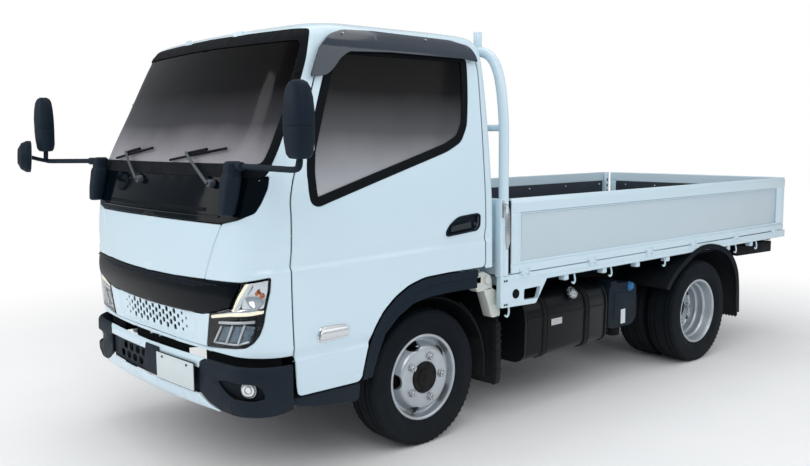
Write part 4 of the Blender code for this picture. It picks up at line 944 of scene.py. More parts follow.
def cell_edges(bm):
    for low_left, low_right, high_right, high_left in CELLS:
        pipe(bm, along_skin([low_left, high_left], -0.008), 0.006, 8, flat=0.7)
        pipe(bm, along_skin([low_left, low_right], -0.012), 0.005, 8, flat=0.7)
    pipe(bm, along_skin([(0.58, 0.758), (0.68, 0.769), (0.782, 0.782)], -0.012), 0.0065, 8, flat=0.7)


def bulbs(bm):
    for u, z, size in ((0.0, 0.893, 0.0105), (-0.022, 0.902, 0.008)):
        spot = wrap(across(0.806, 0.893) + u, z, CAB_RINGS, -0.016)
        bmesh.ops.create_uvsphere(bm, u_segments=16, v_segments=10, radius=size, matrix=Matrix.Translation(spot))


both("lamp_bezel", lamp_bezel, "piano_black", "cab", ("headlamp_SIDE",))
both("lamp_wall", lamp_wall, "piano_black", "cab")
both("lamp_cover", lamp_cover, "lamp_lens", "cab")
both("light_guide", light_guide, "light_guide", "cab")
both("guide_trim", guide_trim, "chrome", "cab")
both("turn_bowl", turn_bowl, "chrome", "cab")
both("cell_edges", cell_edges, "frosted_lens", "cab")
# The cells' streaked colour is a painted reflection
both("reflector_cells", reflector_cells, "cell_mirror", "cab")
both("turn_bulbs", bulbs, "amber", "cab")

# Bumper: dark grained ends, white strips between them, and a mesh with a bracket and a blank plate
BUMPER_RINGS = (
    (0.36, 0.846, -1.098, 0.16, 0.3, 0.03),
    (0.385, 0.858, -1.112, 0.168, 0.3, 0.03),
    (0.42, 0.862, -1.118, 0.17, 0.3, 0.03),
    (0.565, 0.862, -1.118, 0.17, 0.3, 0.03),
    (0.582, 0.858, -1.114, 0.168, 0.3, 0.03),
    (0.598, 0.846, -1.098, 0.16, 0.3, 0.03),
)
SHELF = 0.59  # the height of its upper edge
END = [
    (0.46, 0.578), (0.5, SHELF), (0.983, SHELF), (0.983, 0.392), (0.86, 0.372), (0.66, 0.366), (0.6, 0.372),
    (0.52, 0.398), (0.462, 0.43), (0.452, 0.45)
]
FOG_HOLE = [
    (0.59, 0.508), (0.64, 0.52), (0.8, 0.518), (0.836, 0.5), (0.848, 0.458), (0.8, 0.446), (0.69, 0.448),
    (0.64, 0.468)
]
FOG_LAMP = 0.762, 0.489  # place of its middle on the skin


def bumper_end(bm):
    sheet(bm, [rounded(END, 0.012), rounded(FOG_HOLE, 0.012)], 0.022, 0.0, 0.004, BUMPER_RINGS, lines=(0.575, 0.583))


def pocket_depth(u, z):
    return -0.012 - 0.034 * eased((u - 0.58) / 0.12)


def fog_pocket(bm):
    sheet(bm, [grown(FOG_HOLE, 0.006)], 0.008, pocket_depth, 0, BUMPER_RINGS, step=0.02)


def fog_lamp(bm):
    spot = wrap(*FOG_LAMP, BUMPER_RINGS, -0.05)
    ahead = (wrap(*FOG_LAMP, BUMPER_RINGS, 0.0) - spot).normalized()
    bar(bm, spot, spot + ahead * 0.03, 0.031, 0.029, 24, bevel=0.003)


def fog_ring(bm):
    spot = wrap(*FOG_LAMP, BUMPER_RINGS, -0.04)
    ahead = (wrap(*FOG_LAMP, BUMPER_RINGS, 0.0) - spot).normalized()
    for size, place in ((0.034, 0.012), (0.016, 0.021)):
        centre = spot + ahead * place
        side = ahead.cross(Vector((0, 0, 1))).normalized()
        turns = [2 * math.pi * i / 24 for i in range(25)]
        ring = [centre + (side * math.cos(t) + side.cross(ahead) * math.sin(t)) * size for t in turns]
        pipe(bm, ring, 0.0025, 6)


both("bumper_end", bumper_end, "grained_plastic", "chassis", soft=50)
both("fog_pocket", fog_pocket, "grained_plastic", "chassis")
both("fog_lamp", fog_lamp, "chrome", "chassis")
both("fog_ring", fog_ring, "bright_steel", "chassis")
bm = bmesh.new()
strip = [(0.0, 0.59), (0.492, 0.592), (0.455, 0.572), (0.458, 0.545), (0.0, 0.548)]
sheet(bm, [eased_corners(strip, 0.01)], 0.009, 0.001, 0.0012, BUMPER_RINGS, halved=True, lines=(0.575, 0.583))
piece("bumper_upper_strip", bm, "white_enamel", "chassis", ("front_bumper",), soft=50)
bm = bmesh.new()
strip = [(0.0, 0.428), (0.446, 0.43), (0.48, 0.414), (0.53, 0.39), (0.59, 0.374), (0.585, 0.3665), (0.0, 0.3605)]
sheet(bm, [eased_corners(strip, 0.01)], 0.009, 0.002, 0.0012, BUMPER_RINGS, halved=True, lines=(0.372, 0.385))
piece("bumper_lower_strip", bm, "white_enamel", "chassis", soft=50)
mesh_edge = two_halves([(0.0, 0.552), (0.462, 0.552), (0.456, 0.424), (0.0, 0.424)])
slots = []
for column in range(-5, 6):
    for row in (0, 1):
        x = column * 0.074 + (row % 2) * 0.037
        if not -0.34 < x < 0.4:
            continue
        z = 0.512 - 0.046 * row
        slots.append(
            rounded(
                [
                    (x - 0.026, z), (x - 0.016, z + 0.018), (x + 0.016, z + 0.018), (x + 0.026, z),
                    (x + 0.016, z - 0.018), (x - 0.016, z - 0.018)
                ],
                0.003, 2
            )
        )
bm = bmesh.new()
sheet(bm, [mesh_edge] + slots, 0.006, -0.014, 0.0015, BUMPER_RINGS)
piece("bumper_mesh", bm, "grained_plastic", "chassis", soft=30)
bm = bmesh.new()
sheet(bm, [grown(mesh_edge, -0.004)], 0.004, -0.034, 0, BUMPER_RINGS)
piece("bumper_backing", bm, "seal_rubber", "chassis")
bm = bmesh.new()
sheet(
    bm, [rounded([(-0.015, 0.58), (0.122, 0.58), (0.122, 0.436), (-0.038, 0.436)], 0.006)], 0.01, 0.006, 0.002,
    BUMPER_RINGS
)
piece("plate_bracket", bm, "grained_plastic", "chassis")
bm = bmesh.new()
plate_at = Vector((0.286, -1.124, 0.499))
lean = Matrix.Translation(plate_at) @ Matrix.Rotation(math.radians(2.6), 4, "Z")
box(bm, (-0.166, 0.166), (-0.0015, 0.0015), (-0.062, 0.062), 0.001)
bmesh.ops.transform(bm, matrix=lean, verts=bm.verts)
piece("blank_plate", bm, "plate_sheet", "chassis")
bm = bmesh.new()
for x in (-0.11, 0.11):
    bar(bm, (x, -0.0052, 0.046), (x, 0.001, 0.046), 0.0055, sides=14)
box(bm, (-0.17, 0.17), (0.0018, 0.0048), (-0.066, 0.066), 0.001)
bmesh.ops.transform(bm, matrix=lean, verts=bm.verts)
piece("plate_frame", bm, "grained_plastic", "chassis")
bm = bmesh.new()
sheet(bm, [two_halves([(0.0, 0.495), (0.93, 0.495), (0.93, 0.4), (0.0, 0.4)])], 0.01, -0.075, 0, BUMPER_RINGS)
piece("front_shroud", bm, "seal_rubber", "chassis")
# Aprons on the cab, behind the gap over the bumper. Two short stretches beside the middle one stay open.
# Points x, y
APRON = [(0.436, -1.037), (0.6, -1.015), (0.72, -0.985), (0.785, -0.93), (0.797, -0.88)]


def front_apron(bm):
    inside = [(x - 0.005, y + 0.007) for x, y in APRON[::-1]]
    plate(bm, "z", (0.556, 0.668), APRON + inside)
    box(bm, (0.4325, 0.4365), (-1.038, -0.93), (0.557, 0.667), 0.0005, 1)


both("front_apron", front_apron, "seal_rubber", "cab")
bm = bmesh.new()
box(bm, (-0.275, 0.275), (-1.046, -1.04), (0.562, 0.662), 0.001)
piece("middle_apron", bm, "seal_rubber", "cab")
bm = bmesh.new()
sheet(bm, [rounded(unrolled([(-0.5, 1.256), (0.5, 1.256), (0.5, 1.24), (-0.5, 1.24)]), 0.006)], 0.004, 0.0022, 0.001)
for k in range(-12, 13):
    pipe(bm, along_skin([(0.04 * k - 0.012, 1.243), (0.04 * k + 0.012, 1.253)], 0.003), 0.0012, 6)
piece("cowl_slot", bm, "seal_rubber", "cab")
bm = bmesh.new()
pipe(bm, along_skin([(-0.6, 1.222), (0.6, 1.222)], 0.001), 0.005, 8)
piece("cowl_lip", bm, "piano_black", "cab")

# Wipers: pivot, arm and blade at rest on the lower seal
bm = bmesh.new()
blades = bmesh.new()
for x, z in ((-0.138, 1.362), (0.521, 1.362)):
    base = wrap(across(x, z), z, CAB_RINGS, 0.0)
    ahead = (wrap(across(x, z), z, CAB_RINGS, 0.03) - base).normalized()
    bar(bm, base, base + ahead * 0.03, 0.02, 0.016, 18, bevel=0.003)
    arm = [base + ahead * 0.034] + along_skin([(x - 0.06, z + 0.03), (x - 0.25, z + 0.13)], 0.03, 0.05)
    pipe(bm, arm, 0.0085, 10, flat=0.6)
    pipe(blades, along_skin([(x - 0.4, z + 0.095), (x + 0.03, z + 0.15)], 0.012, 0.04), 0.006, 8)
    pipe(blades, along_skin([(x - 0.24, z + 0.128), (x - 0.1, z + 0.146)], 0.021, 0.04), 0.007, 8)
piece("wiper_arms", bm, "wiper_grey", "cab")
piece("wiper_blades", blades, "seal_rubber", "cab")


def stack(bm, rings, sides=24, power=2.4):
    """A closed body of rounded rings along z. Rows: z, middle x, middle y, half width along x and y."""
    last = None
    for i, (z, x, y, wide, deep) in enumerate(rings):
        made = bmesh.ops.create_circle(bm, cap_ends=i in (0, len(rings) - 1), segments=sides, radius=1.0)["verts"]
        for v in made:
            share = (abs(v.co.x) ** power + abs(v.co.y) ** power) ** (-1 / power)
            v.co = Vector((x + v.co.x * share * wide, y + v.co.y * share * deep, z))
        ring = [e for v in made for e in v.link_edges if e.verts[0] is v]
        if last:
            bmesh.ops.bridge_loops(bm, edges=last + ring)
        last = ring


# Mirrors: bracket on the cowl, tube arm, and a head whose back is rounded and whose face is flat. Rows of the
# head: height over its middle, half width, half depth
HEAD = (
    (-0.15, 0.03, 0.02), (-0.147, 0.048, 0.032), (-0.132, 0.062, 0.041), (-0.08, 0.072, 0.047),
    (-0.026, 0.076, 0.049), (-0.0245, 0.074, 0.047), (-0.022, 0.0755, 0.0485), (0.03, 0.074, 0.049),
    (0.08, 0.066, 0.046), (0.118, 0.055, 0.04), (0.138, 0.042, 0.031), (0.148, 0.022, 0.018)
)
for side, elbow, head in (
    ("left", (1.13, -1.005, 1.432), (1.146, -1.003, 1.625)),
    ("right", (-1.09, -1.18, 1.436), (-1.078, -1.178, 1.64)),
):
    s = 1 if side == "left" else -1
    bm = bmesh.new()
    stack(bm, [(head[2] + z, head[0], head[1], wide, deep) for z, wide, deep in HEAD], 28)
    bmesh.ops.bisect_plane(
        bm,
        geom=bm.verts[:] + bm.edges[:] + bm.faces[:],
        plane_co=(head[0], head[1] + 0.03, head[2]),
        plane_no=(0, 1, 0),
        clear_outer=True,
    )
    bmesh.ops.holes_fill(bm, edges=[e for e in bm.edges if e.is_boundary])
    piece(f"mirror_head_{side}", bm, "grained_plastic", "cab", (f"mirror_{side}",), soft=45)
    bm = bmesh.new()
    face = rounded(
        [
            (head[0] + a, head[2] + b) for a,
            b in ((-0.055, -0.125), (0.055, -0.125), (0.052, 0.05), (0.04, 0.115), (-0.04, 0.115), (-0.052, 0.05))
        ],
        0.02
    )
    plate(bm, "y", (head[1] + 0.029, head[1] + 0.0325), face, 0.0008, 1)
    piece(f"mirror_face_{side}", bm, "mirror_face", "cab")
    bm = bmesh.new()
    foot_at = (s * 0.7, -1.025, 1.44)
    pipe(
        bm, [foot_at, elbow, (head[0] + s * 0.004, head[1], elbow[2] + 0.02), (head[0], head[1], head[2] - 0.1)],
        0.0125, 16, 0.045
    )
    bar(
        bm, (s * 0.69, -1.024, 1.4395), (s * 0.765, -1.026 - (0.03 if s < 0 else 0), 1.4388), 0.019, sides=20,
        bevel=0.004
    )
    piece(f"mirror_arm_{side}", bm, "grained_plastic", "cab", soft=45)
    bm = bmesh.new()
    rows = ((1.232, 0.02, 0.022), (1.24, 0.034, 0.03), (1.3, 0.042, 0.036), (1.385, 0.044, 0.038))
    rows += (
        (1.4, 0.04, 0.036), (1.405, 0.036, 0.032), (1.412, 0.036, 0.033), (1.452, 0.036, 0.034), (1.46, 0.024, 0.024)
    )
    stack(bm, [(z, s * 0.69, -1.028 + (1.44 - z) * -0.17, wide, deep) for z, wide, deep in rows], 24, 3.2)
    piece(f"mirror_bracket_{side}", bm, "grained_plastic", "cab", soft=45)
# Round mirror over the near front corner, on the right arm
bm = bmesh.new()
near, far_end = Vector((-1.146, -1.24, 1.462)), Vector((-1.165, -1.31, 1.466))
aim = (far_end - near).normalized()
for start, stop, wide, narrow in (
    (0.0, 0.022, 0.088, 0.088), (0.022, 0.05, 0.088, 0.072), (0.05, 0.066, 0.072, 0.04)
):
    bar(bm, near + aim * start, near + aim * (stop + 0.001), wide, narrow, 36)
pipe(bm, [(-1.092, -1.181, 1.44), (-1.12, -1.21, 1.448), near + aim * 0.01], 0.011, 12, 0.02)
piece("round_mirror", bm, "grained_plastic", "cab", soft=50)
bm = bmesh.new()
bar(bm, near - aim * 0.002, near + aim * 0.004, 0.08, 0.082, 36)
piece("round_mirror_face", bm, "mirror_face", "cab")

# Side window visor, door handle, side lamp, arch trim and sill
VISOR = [
    (0.786, -0.702, 1.814), (0.77, -0.635, 1.952), (0.755, -0.564, 2.011), (0.729, -0.477, 2.039),
    (0.72, -0.291, 2.046), (0.729, 0.199, 2.037), (0.752, 0.318, 2.014), (0.773, 0.352, 1.93), (0.771, 0.243, 1.944),
    (0.771, -0.241, 1.947), (0.772, -0.477, 1.937), (0.776, -0.532, 1.905), (0.781, -0.57, 1.862),
    (0.785, -0.615, 1.827)
]


def visor(bm):
    loop = [(along(y, z), z) for x, y, z in VISOR]
    sheet(bm, [rounded(loop, 0.02)], 0.003, lambda u, z: 0.005 + 0.022 * eased((2.045 - z) / 0.1), 0.002, step=0.03)


def visor_rivets(bm):
    for y, z in ((-0.61, 1.915), (-0.49, 2.02), (0.02, 2.024), (0.3, 1.975)):
        spot = wrap(along(y, z), z, CAB_RINGS, 0.006)
        ahead = (wrap(along(y, z), z, CAB_RINGS, 0.03) - spot).normalized()
        bar(bm, spot, spot + ahead * 0.013, 0.005, 0.003, 12)


def handle_frame(bm):
    sheet(bm, [on_side(rounded(HANDLE, 0.014)), on_side(rounded(grown(HANDLE, -0.009), 0.01))], 0.012, 0.004, 0.002)


def handle_pocket(bm):
    sheet(bm, [on_side(rounded(grown(HANDLE, -0.006), 0.012))], 0.004, -0.02, 0, step=0.03)


def handle_grip(bm):
    outline = rounded([(0.105, 1.082), (0.112, 1.112), (0.25, 1.126), (0.255, 1.094)], 0.01)
    sheet(bm, [on_side(outline)], 0.01, -0.003, 0.003, step=0.03)
    spot = wrap(along(0.284, 1.112), 1.112, CAB_RINGS, -0.018)
    bar(bm, spot, spot + Vector((0.012, 0, 0)), 0.011, 0.01, 18, bevel=0.002)


SIDE_LAMP = [
    (-0.722, 0.688), (-0.708, 0.722), (-0.69, 0.728), (-0.57, 0.724), (-0.545, 0.706), (-0.545, 0.676),
    (-0.56, 0.662), (-0.7, 0.655), (-0.718, 0.664)
]


def dome(u, z):
    return 0.004 + 0.014 * math.cos(min(1.0, abs(z - 0.692) / 0.036) * 1.5)


def side_lamp(bm):
    sheet(bm, [on_side(rounded(grown(SIDE_LAMP, -0.006), 0.012))], 0.01, dome, 0.003, step=0.012)


def side_lamp_base(bm):
    sheet(bm, [on_side(rounded(SIDE_LAMP, 0.014))], 0.01, 0.006, 0.003, step=0.02)


ARCH_END = 0.3
ARCH_OUT = [
    (-0.462, 0.438), (-0.424, 0.593), (-0.396, 0.655), (-0.339, 0.735), (-0.262, 0.798), (-0.174, 0.844),
    (-0.074, 0.87), (0.082, 0.876), (ARCH_END, 0.876)
]
ARCH_STEP = [
    (-0.43, 0.438), (-0.394, 0.574), (-0.362, 0.64), (-0.296, 0.716), (-0.212, 0.774), (-0.116, 0.812), (-0.03, 0.83),
    (0.082, 0.836), (ARCH_END, 0.836)
]
ARCH_IN = [
    (-0.399, 0.438), (-0.36, 0.548), (-0.322, 0.633), (-0.244, 0.702), (-0.146, 0.755), (-0.044, 0.774),
    (0.082, 0.779), (ARCH_END, 0.779)
]


def arch_outer(bm):
    sheet(bm, [on_side(ARCH_OUT + ARCH_STEP[::-1])], 0.016, 0.002, 0.003)


def arch_inner(bm):
    sheet(bm, [on_side([(a, b + 0.003) for a, b in ARCH_STEP] + ARCH_IN[::-1])], 0.03, -0.006, 0.003)


def sill(bm):
    outline = [
        (-0.838, 0.428), (-0.47, 0.428), (-0.478, 0.352), (-0.5, 0.344), (-0.66, 0.36), (-0.74, 0.372),
        (-0.825, 0.392)
    ]
    plate(bm, "x", (0.6, 0.832), outline, 0.008)


def arched(radius, angles, thin=0.985):
    """The section, in y and z, of a thin plate that is bent round the front wheel's middle."""
    arc = [(radius * math.cos(math.radians(t)), HUB_Z + radius * math.sin(math.radians(t))) for t in angles]
    return arc + [(a * thin, HUB_Z + (b - HUB_Z) * thin) for a, b in arc[::-1]]


def liner(bm):
    plate(bm, "x", (0.47, 0.786), arched(0.412, range(20, 161, 7)), 0)


doors = ("left_door", "right_door")
both("visor", visor, "smoked_acrylic", doors)
both("visor_rivets", visor_rivets, "bright_steel", doors)
both("handle_frame", handle_frame, "grained_plastic", doors)
both("handle_pocket", handle_pocket, "grained_plastic", doors)
both("handle_grip", handle_grip, "cab_trim", doors, soft=50)
both("side_lamp_base", side_lamp_base, "chrome", doors)
both("side_lamp", side_lamp, "frosted_lens", doors)
both("arch_outer", arch_outer, "grained_plastic", "cab", ("arch_trim_SIDE",))
both("arch_inner", arch_inner, "grained_plastic", "cab")
both("sill", sill, "grained_plastic", "cab")
both("wheel_arch_liner", liner, "seal_rubber", "cab")


def door_card(bm):
    hole = rounded(grown(WINDOW, 0.012), 0.03)
    edge = rounded(grown(DOOR, -0.02), 0.03)
    sheet(bm, [on_side(edge), on_side(hole)], 0.006, -0.0345, 0.002)


both("door_card", door_card, "cab_trim", doors)

# Clips for a cover on the windscreen pillars
def clip(bm, y, z):
    spot = wrap(along(y, z), z, CAB_RINGS, 0.002)
    bar(bm, spot, spot + Vector((0.008, -0.002, 0)), 0.01, 0.008, 14, bevel=0.002)
    hook = [spot + Vector(step) for step in ((0.008, 0, 0), (0.014, 0.004, 0.008), (0.012, 0.012, 0.018))]
    pipe(bm, hook, 0.0035, 8, 0.004)


both("pillar_clip_upper", lambda bm: clip(bm, -0.742, 1.832), "seal_rubber", "cab")
both("pillar_clip_lower", lambda bm: clip(bm, -0.79, 1.742), "seal_rubber", "cab")


def bored(bm, drill):
    """The shape with the drill's shapes cut out of it."""
    pair = []
    for name, shape in (("blank", bm), ("drill", drill)):
        bmesh.ops.recalc_face_normals(shape, faces=shape.faces)
        mesh = bpy.data.meshes.new(name)
        shape.to_mesh(mesh)
        holder = bpy.data.objects.new(name, mesh)
        bpy.context.scene.collection.objects.link(holder)
        pair.append(holder)
    drill.free()
    cut = pair[0].modifiers.new("cut", "BOOLEAN")
    cut.operation = "DIFFERENCE"
    cut.object = pair[1]
    cut.solver = "EXACT"
    done = pair[0].evaluated_get(bpy.context.evaluated_depsgraph_get())
    bm.clear()
    bm.from_mesh(done.to_mesh())
    for holder in pair:
        mesh = holder.data
        bpy.data.objects.remove(holder)
        bpy.data.meshes.remove(mesh)


# Wheels and tyres. Profiles: radius, distance outwards from the middle of the tyre. Half a tread is mirrored
HALF_TREAD = [
    (0.348, 0.014), (0.348, 0.03), (0.3405, 0.032), (0.3405, 0.04), (0.348, 0.042), (0.3475, 0.064), (0.341, 0.066),
    (0.341, 0.072), (0.347, 0.074), (0.3445, 0.084), (0.339, 0.092), (0.33, 0.0965), (0.328, 0.0985), (0.325, 0.0985),
    (0.322, 0.098), (0.304, 0.102), (0.286, 0.1028), (0.27, 0.1015), (0.267, 0.1025), (0.264, 0.101), (0.245, 0.096),
    (0.235, 0.0915), (0.233, 0.0925), (0.23, 0.09), (0.223, 0.084), (0.219, 0.07), (0.2095, 0.068)
]
TYRE = HALF_TREAD + [(r, -out) for r, out in HALF_TREAD[::-1]]
FRONT_RIM = [
    (0.079, 0.07), (0.079, 0.084), (0.082, 0.0885), (0.088, 0.0905), (0.144, 0.0905), (0.153, 0.089), (0.16, 0.084),
    (0.166, 0.074), (0.176, 0.052), (0.183, 0.044), (0.191, 0.0425), (0.1965, 0.047), (0.1995, 0.058),
    (0.2015, 0.074), (0.205, 0.082), (0.211, 0.086), (0.217, 0.0865), (0.2205, 0.084), (0.2205, 0.0715),
    (0.209, 0.0665), (0.2075, -0.0665), (0.2205, -0.0715), (0.2205, -0.085), (0.214, -0.086), (0.203, -0.064),
    (0.196, 0.03), (0.182, 0.034), (0.17, 0.044), (0.158, 0.07), (0.15, 0.0795), (0.088, 0.0805)
]
REAR_RIM = [
    (0.079, -0.082), (0.079, -0.066), (0.13, -0.064), (0.142, -0.066), (0.153, -0.06), (0.159, -0.046),
    (0.162, -0.024), (0.168, -0.016), (0.175, -0.014), (0.178, 0.0), (0.18, 0.022), (0.185, 0.029), (0.191, 0.033),
    (0.1945, 0.045), (0.1985, 0.058)
]
REAR_RIM += FRONT_RIM[13:24] + [(0.214, -0.086), (0.203, -0.064), (0.188, -0.03), (0.172, -0.048)]
REAR_RIM += [(0.158, -0.074), (0.144, -0.078)]
INNER_RIM = [(0.078, 0.1), (0.078, 0.112), (0.14, 0.112), (0.162, 0.105), (0.175, 0.095), (0.19, 0.086)]
INNER_RIM += FRONT_RIM[17:24] + [(0.214, -0.086), (0.203, -0.064), (0.19, 0.07), (0.16, 0.092)]


def spokes(count, radius, offset=0.0):
    turns = [math.radians(360 * k / count + offset) for k in range(count)]
    return [(radius * math.cos(t), radius * math.sin(t), t) for t in turns]


def wheel(kind, x, y, bodies, profile, deep, cad):
    """A pair of wheels: tyre with shoulder blocks, bored rim, hub and nuts. Deep is how far out the disc's face is."""

    def tyre(bm):
        lathe(bm, TYRE, 96, (x, y, HUB_Z))

    def blocks(bm):
        for way in (-1, 1):
            for dy, dz, t in spokes(64, 0.3345, 2.8 * (way > 0)):
                lump = bmesh.ops.create_cube(
                    bm,
                    matrix=Matrix.Translation((x + way * 0.088, y + dy, HUB_Z + dz))
                    @ Matrix.Rotation(t, 4, "X")
                    @ Matrix.Rotation(way * math.radians(20), 4, "Y")
                    @ Matrix.Diagonal((0.012, 0.0165, 0.015, 1)),
                )
                soften(bm, list({e for v in lump["verts"] for e in v.link_edges}), 0.0015, 1)

    def rim(bm):
        lathe(bm, profile, 80, (x, y, HUB_Z))
        drill = bmesh.new()
        wide, high, ring = (0.0215, 0.041, 0.174) if profile is FRONT_RIM else (0.01, 0.016, 0.146)
        for dy, dz, t in spokes(5, ring, 36.0):
            bmesh.ops.create_cone(
                drill,
                cap_ends=True,
                segments=28,
                radius1=1.0,
                radius2=1.0,
                depth=0.3,
                matrix=Matrix.Translation((x + deep - 0.05, y + dy, HUB_Z + dz))
                @ Matrix.Rotation(t, 4, "X")
                @ Matrix.Diagonal((1, wide, high, 1))
                @ Matrix.Rotation(math.pi / 2, 4, "Y"),
            )
        bored(bm, drill)

    def hub(bm):
        for reach, radius in ((0.004, 0.0785), (0.01, 0.056), (0.024, 0.047), (0.03, 0.022), (0.036, 0.012)):
            bar(bm, (x + deep - 0.035, y, HUB_Z), (x + deep + reach * 0.45, y, HUB_Z), radius, sides=32, bevel=0.002)
        for dy, dz, t in spokes(6, 0.068, 12.0):
            at = (x + deep - 0.002, y + dy, HUB_Z + dz)
            bar(bm, at, (at[0] + 0.008, at[1], at[2]), 0.0055, sides=6)

    def nuts(bm):
        for dy, dz, t in spokes(5, 0.11, 0.0):
            for start, stop, radius, end, sides in (
                (-0.004, 0.004, 0.0235, 0.0215, 28),
                (0.003, 0.019, 0.019, 0.0185, 6),
                (0.018, 0.022, 0.0165, 0.012, 24),
                (0.021, 0.027, 0.0085, 0.007, 18),
            ):
                bar(
                    bm, (x + deep + start, y + dy, HUB_Z + dz), (x + deep + stop, y + dy, HUB_Z + dz), radius, end,
                    sides
                )

    both(f"{kind}_tyre", tyre, "tyre_rubber", bodies, (f"tyre_{cad}_SIDE",), soft=28)
    both(f"{kind}_tread_blocks", blocks, "tyre_rubber", bodies)
    if profile is INNER_RIM:
        both(f"{kind}_rim", lambda bm: lathe(bm, profile, 64, (x, y, HUB_Z)), "wheel_silver", bodies)
        return
    both(f"{kind}_rim", rim, "wheel_silver", bodies, (f"rim_{cad.split('_')[0]}_SIDE",), soft=28)
    both(f"{kind}_hub", hub, "chassis_paint", bodies, soft=40)
    both(f"{kind}_nuts", nuts, "bright_steel", bodies, soft=40)


wheel("front", 0.671, 0.0, ("front_left_wheel", "front_right_wheel"), FRONT_RIM, 0.0905, "front")
rear = ("rear_left_wheels", "rear_right_wheels")
wheel("rear_outer", 0.75, WHEELBASE, rear, REAR_RIM, -0.064, "rear_outer")
wheel("rear_inner", 0.516, WHEELBASE, rear, INNER_RIM, 0.112, "rear_inner")

# Fuel tank with its straps, cap and plate
TANK = [
    (0.44, 0.29), (0.74, 0.29), (0.792, 0.325), (0.799, 0.52), (0.797, 0.54), (0.792, 0.59), (0.76, 0.64),
    (0.7, 0.656), (0.46, 0.656), (0.42, 0.63), (0.42, 0.31)
]
section = rounded(TANK, 0.028)
bm = bmesh.new()
plate(bm, "y", (0.735, 1.482), section, 0.006)
for y in (0.722, 1.478):
    plate(bm, "y", (y, y + 0.014), grown(section, 0.004), 0.004)
plate(bm, "x", (0.798, 0.8005), [(0.75, 0.526), (1.47, 0.526), (1.47, 0.534), (0.75, 0.534)])
piece("tank_body", bm, "tank_paint", "chassis", ("fuel_tank",), soft=40)
bm = bmesh.new()
for y in (0.88, 1.27):
    plate(bm, "y", (y, y + 0.046), grown(section, 0.0045), 0.002)
    for edge in (0.003, 0.04):
        plate(bm, "y", (y + edge, y + edge + 0.003), grown(section, 0.0065), 0)
piece("tank_straps", bm, "chassis_paint", "chassis", soft=40)
bm = bmesh.new()
bar(bm, (0.756, 1.156, 0.6), (0.782, 1.156, 0.631), 0.03, sides=28, bevel=0.003)
piece("tank_neck", bm, "tank_paint", "chassis")
bm = bmesh.new()
bar(bm, (0.782, 1.156, 0.631), (0.797, 1.156, 0.649), 0.036, 0.034, 28, bevel=0.003)
bar(bm, (0.797, 1.156, 0.649), (0.803, 1.156, 0.656), 0.022, 0.018, 24, bevel=0.002)
for dy, dz, t in spokes(10, 0.034):
    at = Vector((0.7895, 1.156 + dy, 0.64 + dz * 0.77))
    at.x -= dz * 0.64
    bar(bm, at - Vector((0.006, 0, 0.007)), at + Vector((0.006, 0, 0.007)), 0.004, sides=8)
piece("tank_cap", bm, "bright_steel", "chassis", soft=40)
bm = bmesh.new()
box(bm, (0.7995, 0.8015), (0.955, 1.053), (0.474, 0.512), 0.0006, 1)
piece("tank_plate", bm, "bright_steel", "chassis")

# Exhaust additive tank with its blue cap, hose and pump
bm = bmesh.new()
plate(
    bm, "x", (0.47, 0.772),
    rounded(
        [
            (1.548, 0.372), (1.59, 0.352), (1.8, 0.352), (1.848, 0.385), (1.85, 0.6), (1.82, 0.622), (1.6, 0.64),
            (1.552, 0.61)
        ],
        0.03
    ),
    0.016
)
plate(bm, "x", (0.768, 0.7755), rounded([(1.6, 0.4), (1.8, 0.4), (1.8, 0.56), (1.61, 0.58)], 0.02), 0.003)
box(bm, (0.66, 0.77), (1.575, 1.64), (0.61, 0.652), 0.008)
piece("additive_body", bm, "grained_plastic", "chassis", ("additive_tank",), soft=40)
bm = bmesh.new()
bar(bm, (0.752, 1.775, 0.59), (0.78, 1.781, 0.612), 0.027, 0.026, 24, bevel=0.003)
bar(bm, (0.78, 1.781, 0.612), (0.788, 1.783, 0.618), 0.015, 0.012, 20, bevel=0.002)
for dy, dz, t in spokes(12, 0.0265):
    at = Vector((0.766 - dz * 0.6, 1.778 + dy, 0.601 + dz * 0.78))
    bar(bm, at - Vector((0.009, 0.002, 0.007)), at + Vector((0.009, 0.002, 0.007)), 0.003, sides=6)
piece("additive_cap", bm, "cap_blue", "chassis", soft=40)
bm = bmesh.new()
pipe(
    bm,
    [
        (0.7, 1.845, 0.585), (0.752, 1.858, 0.575), (0.76, 1.868, 0.5), (0.757, 1.868, 0.4), (0.735, 1.845, 0.345),
        (0.7, 1.79, 0.335)
    ],
    0.008, 12, 0.04
)
bar(bm, (0.7, 1.7, 0.352), (0.7, 1.7, 0.288), 0.046, 0.042, 28, bevel=0.004)
bar(bm, (0.715, 1.6, 0.352), (0.715, 1.6, 0.322), 0.018, sides=18, bevel=0.003)
piece("additive_hose", bm, "seal_rubber", "chassis", soft=40)
bm = bmesh.new()
box(bm, (0.7745, 0.7765), (1.678, 1.726), (0.372, 0.464), 0.0005, 1)
piece("additive_label", bm, "plate_sheet", "chassis")

# Reservoirs behind the front wheel, and the flap with its ribbed edge
bm = bmesh.new()
plate(
    bm, "x", (0.735, 0.79),
    rounded([(0.338, 0.838), (0.39, 0.852), (0.458, 0.82), (0.47, 0.745), (0.345, 0.742)], 0.02), 0.014, 3
)
bar(bm, (0.76, 0.376, 0.842), (0.76, 0.376, 0.862), 0.016, sides=18, bevel=0.003)
plate(
    bm, "x", (0.728, 0.79),
    rounded([(0.4, 0.75), (0.45, 0.758), (0.522, 0.724), (0.53, 0.59), (0.462, 0.59), (0.432, 0.676)], 0.016), 0.014,
    3
)
for z in (0.66, 0.69):
    pipe(bm, [(0.79, 0.47 + (0.69 - z) * 0.4, z), (0.79, 0.52, z)], 0.0035, 8)
piece("reservoir_bottles", bm, "milky_plastic", "chassis", ("reservoirs",), soft=50)
bm = bmesh.new()
bar(bm, (0.786, 0.424, 0.8), (0.799, 0.424, 0.802), 0.024, 0.022, 24, bevel=0.003)
